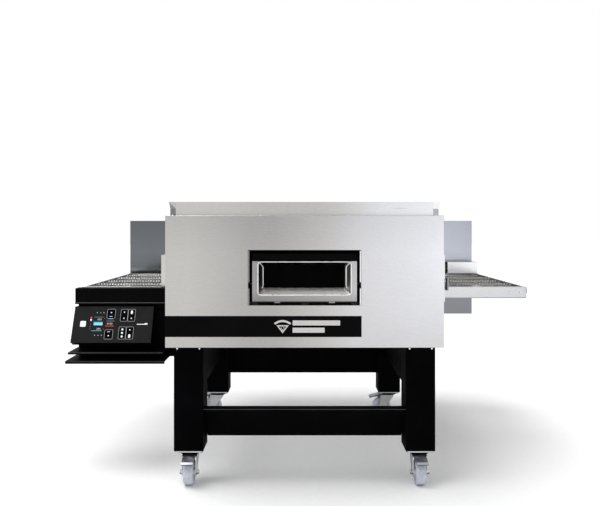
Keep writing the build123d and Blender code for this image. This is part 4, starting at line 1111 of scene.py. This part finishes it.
def key_marks():
    """A pale outline round each key, and its plain sign."""
    face = ConsoleFace()
    rise = face.out * INK_THICKNESS
    frames = Solids()
    for node in KEY_NODES:
        (across, down), width, height = face.spot(node)
        marks = Solids()

        def mark(points, x, up, solids=marks):
            solids.prism(face.outline(points, across + x, down - up, KEY_PROUD), rise)

        if node == "power_button":
            for x in (-1, 1):
                square = rounded_rectangle(9.6 * MM, 20 * MM, 1.5 * MM, 3)
                mark(square, x * 5.1 * MM, 0)
            marks.piece(f"{node}_sign", WHITE_MARK, node, "button_white")
            continue
        outer = rounded_rectangle(width + 2.6 * MM, height + 2.6 * MM, 5.4 * MM)
        inner = rounded_rectangle(width + 0.4 * MM, height + 0.4 * MM, 4.4 * MM)
        loops = [face.outline(loop, across, down, INK_LIFT) for loop in (outer, inner)]
        frames.ring(*loops, rise)
        sign = rounded_rectangle(5 * MM, 5 * MM, 1.2 * MM, 3)
        tall_sign = rounded_rectangle(9 * MM, 16 * MM, 3 * MM)
        if node.endswith("heat_key"):
            lift = 6 * MM if node.startswith("upper") else -6 * MM
            mark(sign, 0, lift)
            mark(rounded_rectangle(14 * MM, 1.6 * MM, 0.7 * MM, 3), 0, -lift * 2)
        elif node == "belt_faster_key":
            mark(tall_sign, 0, -14 * MM)
            mark(sign, 0, 14 * MM)
        elif node == "belt_slower_key":
            for up in (-16, 0, 16):
                mark(rounded_rectangle(9 * MM, 9 * MM, 4.4 * MM), 0, up * MM)
        else:
            upper = tall_sign if node == "program_down_key" else sign
            mark(upper, 0, 14 * MM)
            mark(sign, 0, -14 * MM)
        marks.piece(f"{node}_sign", WHITE_MARK, node, "button_white")
    frames.piece("key_outlines", OUTLINE_MARK, "casing", "button_white")


# -------- stage
FOCAL = 38.16
CAMERA_PLACE = (-0.0184, -3.2665, 1.06)
CAMERA_SHIFT = -0.0475
SURROUND = 0.74  # how bright the white surround is as light
FLOOR_HALF = 30
SUN_POWER = 2.2
SUN_ANGLE = 0.7
SUN_LEAN = -0.36
# Area lights: name, place, target, (width, height), watts, colour.
AREA_LIGHTS = (
    ("right_front", (1.55, -3.7, 0.95), (0.9, 0, 0.85), (2.1, 1.85), 4.0, (0.86, 0.925, 1)),
    ("right_glow", (1.75, -3.72, 0.9), (1.2, 0.5, 0.9), (0.95, 0.75), 1.6, (0.88, 0.94, 1)),
    ("under_fill", (0, 0.0, 0.555), (0, 0.01, 0), (0.9, 1.1), 2, (1, 1, 1)),
)


def area_light(name, place, target, size, power, colour):
    """A soft rectangular light that the camera doesn't see."""
    data = bpy.data.lights.new(name, "AREA")
    data.shape = "RECTANGLE"
    data.size, data.size_y = size
    data.energy = power
    data.color = colour
    light = linked(name, data)
    light.location = place
    light.rotation_euler = (Vector(target) - Vector(place)).to_track_quat("-Z", "Y").to_euler()
    light.visible_camera = False


def stage():
    """A pale floor, a white surround, soft lights and the camera."""
    world = bpy.data.worlds.new("studio")
    world.use_nodes = True
    background = world.node_tree.nodes["Background"]
    seen = world.node_tree.nodes.new("ShaderNodeLightPath").outputs["Is Camera Ray"]
    strength = world.node_tree.nodes.new("ShaderNodeMapRange")
    strength.inputs["To Min"].default_value = SURROUND
    world.node_tree.links.new(seen, strength.inputs["Value"])
    world.node_tree.links.new(strength.outputs["Result"], background.inputs["Strength"])
    background.inputs["Color"].default_value = (1.0, 1.0, 1.0, 1)
    bpy.context.scene.world = world
    bpy.context.scene.view_settings.view_transform = "Standard"

    mesh = bpy.data.meshes.new("floor")
    corners = ((-1, -1), (1, -1), (1, 1), (-1, 1))
    mesh.from_pydata([(x * FLOOR_HALF, y * FLOOR_HALF, 0) for x, y in corners], [], [(0, 1, 2, 3)])
    pale = Finish("pale_floor", (0.89, 0.89, 0.89), 0.8, specular=0.1)
    speckle = pale.noise(40)
    pale.link(pale.ramp(speckle, (0.88, 0.88, 0.88), (0.9, 0.9, 0.9)), "Base Color")
    mesh.materials.append(pale.material)
    floor = linked("floor", mesh)

    for light in AREA_LIGHTS:
        area_light(*light)
    sky = bpy.data.lights.new("overhead", "SUN")
    sky.energy = SUN_POWER
    sky.angle = SUN_ANGLE
    linked("overhead", sky).rotation_euler = (0.0, SUN_LEAN, 0)

    camera = bpy.data.cameras.new("camera")
    camera.lens = FOCAL
    camera.shift_y = CAMERA_SHIFT
    view = linked("camera", camera)
    view.location = CAMERA_PLACE
    view.rotation_euler = (pi / 2, 0, 0)
    bpy.context.scene.camera = view


finish_cad_nodes()
wire_belt()
screw_heads()
door_details()
roller_chain()
edge_highlight_strips()
dust_rings()
collar_corners()
collar_rivets()
weld_beads()
stripe_marks()
console_marks()
key_marks()
stage()
